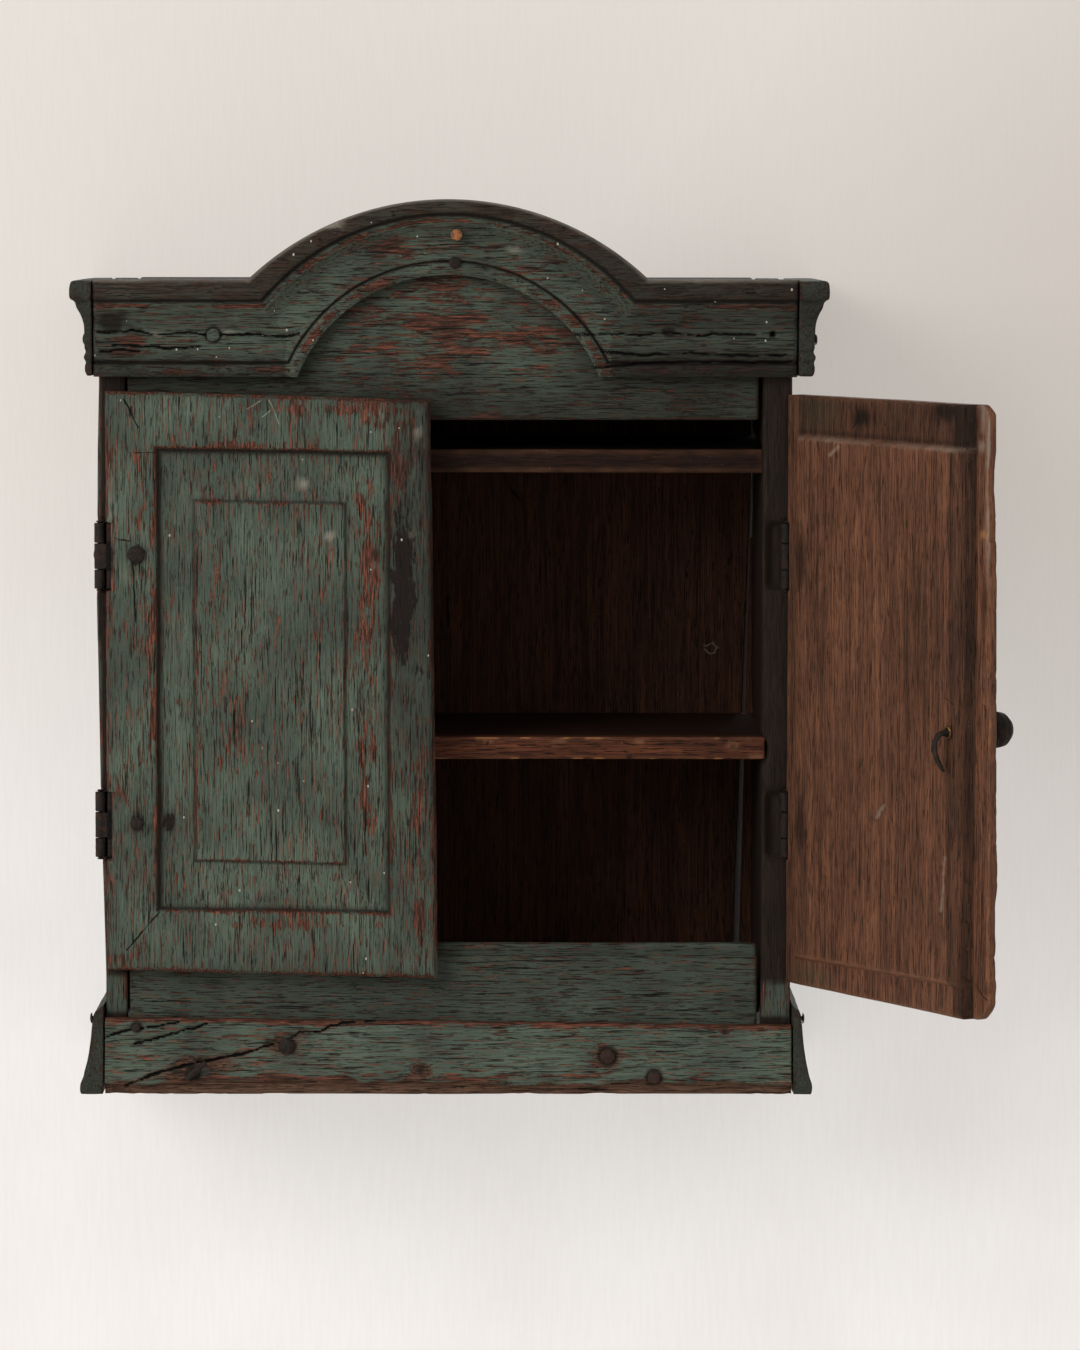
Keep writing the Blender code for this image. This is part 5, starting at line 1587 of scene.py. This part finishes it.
def shelf_splinters(places, normals):
    """Pale wood where splinters broke off the front arrises."""
    front = ease(places[:, 1], -0.209, -0.2135)
    arris = ease(np.abs(normals[:, 2]), 0.12, 0.5) * ease(-normals[:, 1], 0.1, 0.5)
    return front * arris * ease(unevenness(places, (8 * MM, 9 * MM, 9 * MM), 19), 0.2, 0.45)


def shelf_holes(places, normals):
    """Two nail holes and a knot in the middle shelf's front edge, over the painted shade of shelf_shade."""
    total = shelf_shade(places, normals)
    for pixel, radius in (((487, 743), 2.4), ((733, 746), 2.2), ((629, 757), 2.6)):
        point = seen_at(*pixel, (0, -0.215, 0))
        away = np.hypot(places[:, 0] - point.x, places[:, 2] - point.z)
        total += 1.3 * (1 - ease(away, 0.5 * MM, radius * MM)) * ease(places[:, 1], -0.205, -0.213)
    return total


def shelf_shade(places, normals):
    """Painted shade: the top of a shelf is nearly black behind its handled front band."""
    up = ease(normals[:, 2], 0.4, 0.9)
    return 0.9 * up * ease(places[:, 1], -0.204, -0.196)


middle_wood = bare_wood("bare_softwood_of_middle_shelf", "x", 21, "#683b26", "#351b12", "#2e1b13")
# the upper shelf's wood is painted much darker than the middle shelf's, as shade in the upper compartment
shaded_upper_shelf_wood = bare_wood("upper_shelf_softwood_darkened_as_shade", "x", 23, "#2d170d", "#190d08", "#160c08")
worn_copy(
    "middle_shelf", "shelf_wood", middle_wood, 2.0, (120, 18, 18), 1.3, 9,
    worn=shelf_bruises, bare=shelf_splinters, grime=shelf_holes,
)
worn_copy(
    "upper_shelf", "shelf_wood", shaded_upper_shelf_wood, 2.8, (160, 24, 24), 1.0, 10, grime=shelf_shade
)


def on_back_boards(path):
    return [tuple(seen_at(x, y, (0, -9 * MM, 0))) for x, y in path]


STAR = [(706, 646), (712, 643), (717, 648), (714, 653), (708, 653), (705, 649)]
inner_wood = bare_wood(
    "smoked_softwood_inside", "z", 27, "#4e2f1f", "#27150d", "#2c1b12", 0.7,
    marks=[
        on_back_boards(path)
        for path in (
            [(729, 559), (729, 563)], [(687, 573), (687, 577)], [(447, 598), (448, 628)],
            [(510, 488), (520, 500)], [(741, 890), (741, 896)],
        )
    ],
    mark_width=2.2, rubs=[on_back_boards(STAR)],
)
lying_wood = bare_wood("smoked_softwood_top_and_bottom", "x", 29, "#3a2317", "#1c100a", "#20140e")
for node, wood in (
    ("back_board_left", inner_wood), ("back_board_right", inner_wood),
    ("top_board", lying_wood), ("bottom_board", lying_wood),
):
    NODES[node].data.materials.clear()
    NODES[node].data.materials.append(wood)


def wedge_strip():
    """The thin wedge beside the right back board, pushed tight against the side board."""
    edge = [(58 * MM, 222.6 * MM), (400 * MM, 231 * MM)]
    shape = bmesh.new()
    rings = [
        [
            shape.verts.new((x, y, height + FLOOR_OF_BASE))
            for x, y in ((left, -9 * MM), (236 * MM, -9 * MM), (236 * MM, -0.2 * MM), (left, -0.2 * MM))
        ]
        for height, left in edge
    ]
    for i in range(4):
        j = (i + 1) % 4
        shape.faces.new((rings[0][i], rings[0][j], rings[1][j], rings[1][i]))
    shape.faces.new(rings[0][::-1])
    shape.faces.new(rings[1])
    bmesh.ops.bevel(shape, geom=shape.edges[:], offset=0.5 * MM, segments=2, affect="EDGES")
    mesh = bpy.data.meshes.new("back_wedge_strip")
    shape.to_mesh(mesh)
    shape.free()
    mesh.materials.append(inner_wood)
    return mesh


strip = stand_for(wedge_strip(), "back_wedge_strip", "back_wedge")
print("shelves and inner boards are finished")

# %% [markdown]
# ## Ironwork, pegs and latch
# Every hinge, pin and nail is small, and each is seen from a different side, so all are
# forged the same way: fine cells, short hammer facets, a finish that is half scale and
# half rust. The base's old nails are redder. The peg in the arch is split softwood, driven
# from the front and never painted; the one in the left leg was painted over.

# %% Forge the iron and cut the pegs
def hinge_gap_painted_shade(places, normals):
    """Painted shade: black beside the left hinges' middle knuckles, where the gap lies in shadow; the right
    hinges are dark all over.
    """
    start, end = (seen_at(across, 560, (0, LEFT_AXIS.y + FACE, 0)).x for across in (104.5, 112))
    gap = ease(places[:, 0], start, start + 0.6 * MM) * ease(places[:, 0], end + 0.6 * MM, end)
    middles = np.min([np.abs(height_of(places) - middle) for middle in HINGE_MIDDLES], axis=0)
    return 1.2 * gap * ease(middles, 12 * MM, 10 * MM) + 0.35 * (places[:, 0] > 0)


ironwork = {}
for node in NODES:
    if "hinge" in node:
        rose = "door_nail" in node
        cell = 0.42 if rose else 0.6
        ironwork[node] = worn_copy(
            node, "wrought_iron", IRON, cell, (3.4, 3.4, 3.4), 0.7 if rose else 0.35, 31, 1,
            grime=hinge_gap_painted_shade,
        )
for node in ("base_nail_left", "base_nail_large", "base_nail_bent", "cornice_nail"):
    ironwork[node] = worn_copy(node, "wrought_iron", IRON, 0.4, (3.2, 3.2, 3.2), 0.7, 33, 1)
for node in ("base_nail_rusty", "base_nail_low"):
    ironwork[node] = worn_copy(node, "rusty_iron", RUSTED, 0.4, (3.2, 3.2, 3.2), 0.8, 35, 1)
for node in NODES:
    if node.endswith("return_nail") or node.endswith("foot_nail") or node.endswith("head_nail"):
        ironwork[node] = worn_copy(node, "wrought_iron", IRON, 0.5, (3, 3, 3), 0.4, 37, 1)
worn_copy("cornice_top_peg", "pale_peg", PEG, 0.4, (2, 6, 4), 0.6, 39, 1)
worn_copy("cornice_left_peg", "painted_wood", frieze_paint, 0.4, (2, 6, 4), 0.6, 41, 1)
worn_copy("latch_collar", "dull_brass", BRASS, 0.4, (4, 4, 4), 0.2, 43, 1)
worn_copy("latch_hook", "wrought_iron", IRON, 0.5, (5, 5, 5), 0.7, 45, 1)
worn_copy("latch_knob", "wrought_iron", IRON, 0.6, (9, 9, 9), 0.4, 47, 1)
print("pieces of ironwork:", len(ironwork))

# %% [markdown]
# ## Specks of limewash
# Whoever whitened the wall spattered the cupboard. The specks are a few dozen flat drops
# scattered over the painted faces that look outwards, so Geometry Nodes scatter them: points
# on the faces, a flattened bead on each, turned to the surface and given a random size.

# %% Scatter the specks
def speck_tree():
    tree = bpy.data.node_groups.new("limewash_specks", "GeometryNodeTree")
    face = tree.interface
    face.new_socket("Geometry", in_out="INPUT", socket_type="NodeSocketGeometry")
    for name, kind in (
        ("Density", "NodeSocketFloat"), ("Smallest", "NodeSocketFloat"),
        ("Largest", "NodeSocketFloat"), ("Seed", "NodeSocketInt"),
        ("Finish", "NodeSocketMaterial"),
    ):
        face.new_socket(name, in_out="INPUT", socket_type=kind)
    face.new_socket("Geometry", in_out="OUTPUT", socket_type="NodeSocketGeometry")
    given = add(tree, "NodeGroupInput", {})
    normal = add(tree, "GeometryNodeInputNormal", {})
    parts = add(tree, "ShaderNodeSeparateXYZ", {0: normal.outputs[0]})
    forwards = add(
        tree, "FunctionNodeCompare", {0: parts.outputs["Y"], 1: -0.75}, operation="LESS_THAN"
    )
    scattered = add(
        tree, "GeometryNodeDistributePointsOnFaces",
        {
            "Mesh": given.outputs["Geometry"], "Selection": forwards.outputs[0],
            "Density": given.outputs["Density"], "Seed": given.outputs["Seed"],
        },
    )
    bead = add(tree, "GeometryNodeMeshIcoSphere", {"Radius": 1.0, "Subdivisions": 2})
    size = add(
        tree, "FunctionNodeRandomValue",
        {2: given.outputs["Smallest"], 3: given.outputs["Largest"], "Seed": given.outputs["Seed"]},
    )
    shape = add(
        tree, "ShaderNodeVectorMath", {0: (1.0, 1.4, 0.22), "Scale": size.outputs[1]},
        operation="SCALE",
    )
    placed = add(
        tree, "GeometryNodeInstanceOnPoints",
        {
            "Points": scattered.outputs["Points"], "Instance": bead.outputs["Mesh"],
            "Rotation": scattered.outputs["Rotation"], "Scale": shape.outputs[0],
        },
    )
    real = add(tree, "GeometryNodeRealizeInstances", {0: placed.outputs[0]})
    finished = add(
        tree, "GeometryNodeSetMaterial",
        {"Geometry": real.outputs[0], "Material": given.outputs["Finish"]},
    )
    add(tree, "NodeGroupOutput", {0: finished.outputs[0]})
    return tree


def limewash():
    """Chalky white, dulled by handling, with no shine at all."""
    material, tree, shader, place = new_material("limewash_drops", 0.9)
    clouds = pattern(tree, place, (1.5, 1.5, 1.5), 53, 0.3, 0.7)
    colour = coats(tree, linear("#8f887c"), [(clouds, linear("#b9b3a6"))])
    finish_off(tree, shader, colour, clouds, 0.1)
    return material


SPECKS = speck_tree()
SPECK_INPUTS = {
    item.name: item.identifier for item in SPECKS.interface.items_tree if item.in_out == "INPUT"
}
LIMEWASH = limewash()


def scatter_specks(name, source, density, seed, body_of_node):
    piece = bpy.data.objects.new(name, source.data.copy())
    bpy.context.scene.collection.objects.link(piece)
    scatter = piece.modifiers.new("specks", "NODES")
    scatter.node_group = SPECKS
    scatter[SPECK_INPUTS["Density"]] = density
    scatter[SPECK_INPUTS["Smallest"]] = 0.25 * MM
    scatter[SPECK_INPUTS["Largest"]] = 0.8 * MM
    scatter[SPECK_INPUTS["Seed"]] = seed
    scatter[SPECK_INPUTS["Finish"]] = LIMEWASH
    bpy.context.view_layer.update()
    ready = piece.evaluated_get(bpy.context.evaluated_depsgraph_get())
    mesh = bpy.data.meshes.new_from_object(ready)
    piece.modifiers.clear()
    piece.data = mesh
    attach(piece, body_of(NODES[body_of_node])[0])
    return len(mesh.polygons) // 80


print("specks on the cornice:", scatter_specks("limewash_on_cornice", cornice_front, 700, 5, "cornice_front"))
print("specks on the left door:", scatter_specks("limewash_on_left_door", left_door, 220, 8, "left_door"))

# %% [markdown]
# ## The wall, the floor and the light
# The cupboard hangs on a whitewashed wall in soft daylight from the upper left. The wall
# and floor are only a stage. The wall's paint keeps the brush's fine strokes, and it is
# painted lighter towards the bottom and darker towards the right as painted light and
# shade; a darker sheet just behind the cupboard is a painted shadow. From behind the
# wall is clear, so that the cupboard's back can be looked at too.

# %% Build the stage
def plain_sheet(name, corners, finish):
    mesh = bpy.data.meshes.new(name)
    mesh.from_pydata(corners, [], [(0, 1, 2, 3)])
    sheet = bpy.data.objects.new(name, mesh)
    bpy.context.scene.collection.objects.link(sheet)
    sheet.data.materials.append(finish)
    return sheet


GLOW = 0.52  # share of the wall's own colour that the camera sees whatever its light


def whitewash(name, seen_from_front_only, tones, glowing=GLOW):
    """Limewash between an upper and a lower tone, with broad patches of a third; the lighter lower tone is
    painted light, and a fourth tone is painted shade towards the right, less near the top.
    """
    material, tree, shader, place = new_material(name, 0.85)
    strokes = pattern(tree, place, (3, 3, 40), 61, 0.3, 0.7)
    sweeps = weighed(tree, [(pattern(tree, place, (300, 300, 300), 63, 0.3, 0.7, 2.0), 0.3)])
    height = add(tree, "ShaderNodeSeparateXYZ", {0: place}).outputs["Z"]
    # painted light lower down and painted shade towards the right, cut back near the top
    lower = stepped(tree, height, 0.35, -0.45)
    across = add(tree, "ShaderNodeSeparateXYZ", {0: place}).outputs["X"]
    high = stepped(tree, height, 0.25, 0.75)
    far = weighed(tree, [(stepped(tree, across, 0.0, 0.6), 0.6), (lower, -0.6), (high, -0.5)])
    colour = coats(
        tree, linear(tones[0]),
        [(lower, linear(tones[1])), (sweeps, linear(tones[2])), (far, linear(tones[3])),
         (weighed(tree, [(strokes, 0.07)]), linear("#cfc9c3"))],
    )
    finish_off(tree, shader, colour, strokes, 0.06)
    surface = shader.outputs[0]
    if seen_from_front_only:
        rays = add(tree, "ShaderNodeLightPath", {})
        direct = rays.outputs["Is Camera Ray"]
        for kind in ("Is Glossy Ray", "Is Transmission Ray"):
            direct = add(
                tree, "ShaderNodeMath", {0: direct, 1: rays.outputs[kind]}, operation="MAXIMUM"
            ).outputs[0]
        seen = add(tree, "ShaderNodeMath", {0: direct, 1: glowing}, operation="MULTIPLY")
        glow = add(tree, "ShaderNodeEmission", {"Color": colour, "Strength": 1.0})
        surface = add(
            tree, "ShaderNodeMixShader", {0: seen.outputs[0], 1: surface, 2: glow.outputs[0]}
        ).outputs[0]
        behind = add(tree, "ShaderNodeNewGeometry", {}).outputs["Backfacing"]
        shadow = rays.outputs["Is Shadow Ray"]
        clear = add(tree, "ShaderNodeMath", {0: behind, 1: shadow}, operation="MAXIMUM")
        nothing = add(tree, "ShaderNodeBsdfTransparent", {})
        mixed = add(
            tree, "ShaderNodeMixShader",
            {0: clear.outputs[0], 1: surface, 2: nothing.outputs[0]},
        )
        tree.links.new(mixed.outputs[0], tree.nodes["Material Output"].inputs[0])
    return material


WALL_Y, FLOOR_Z, REACH = 0.003, -1.6, 8.0
plain_sheet(
    "wall",
    [(-REACH, WALL_Y, FLOOR_Z), (REACH, WALL_Y, FLOOR_Z), (REACH, WALL_Y, REACH), (-REACH, WALL_Y, REACH)],
    # the light lower tone is painted light and the last tone painted shade
    whitewash("whitewashed_plaster", True, ("#e8e2dc", "#fffcfa", "#e4ded8", "#c8beb5")),
)
# a darker sheet without glow just behind the cupboard: a painted shadow, seen through the gaps in the back
plain_sheet(
    "painted_shadow_behind_cupboard",
    [(-0.235, 0.0015, -0.24), (0.238, 0.0015, -0.24), (0.238, 0.0015, 0.29), (-0.235, 0.0015, 0.29)],
    whitewash("plaster_painted_as_shadow", True, ("#9c9a97",) * 4, 0.0),
)
plain_sheet(
    "floor",
    [(-REACH, -REACH, FLOOR_Z), (REACH, -REACH, FLOOR_Z), (REACH, REACH, FLOOR_Z), (-REACH, REACH, FLOOR_Z)],
    whitewash("pale_floor", False, ("#e0dcd7", "#e0dcd7", "#dad5cf", "#dad5cf")),
)


def soft_lamp(name, place, target, size, power, colour):
    lamp = bpy.data.lights.new(name, "AREA")
    lamp.shape, lamp.size, lamp.energy, lamp.color = "DISK", size, power, linear(colour)[:3]
    holder = bpy.data.objects.new(name, lamp)
    bpy.context.scene.collection.objects.link(holder)
    aim_at = Vector(target) - Vector(place)
    holder.matrix_world = Matrix.Translation(place) @ aim_at.to_track_quat("-Z", "Y").to_matrix().to_4x4()


soft_lamp("window", (-2.5, -3.0, 1.5), (0, -0.2, 0.1), 2.4, 84, "#fffdfa")
soft_lamp("behind", (0.3, 2.6, 0.9), (0, 0, 0), 1.6, 22, "#ffffff")
world = bpy.data.worlds.new("room_light")
bpy.context.scene.world = world
world.use_nodes = True
background = world.node_tree.nodes["Background"]
background.inputs["Color"].default_value = linear("#fffefc")
background.inputs["Strength"].default_value = 0.66
bpy.context.scene.view_settings.view_transform = "Standard"
print("stage, lamps and world are set")
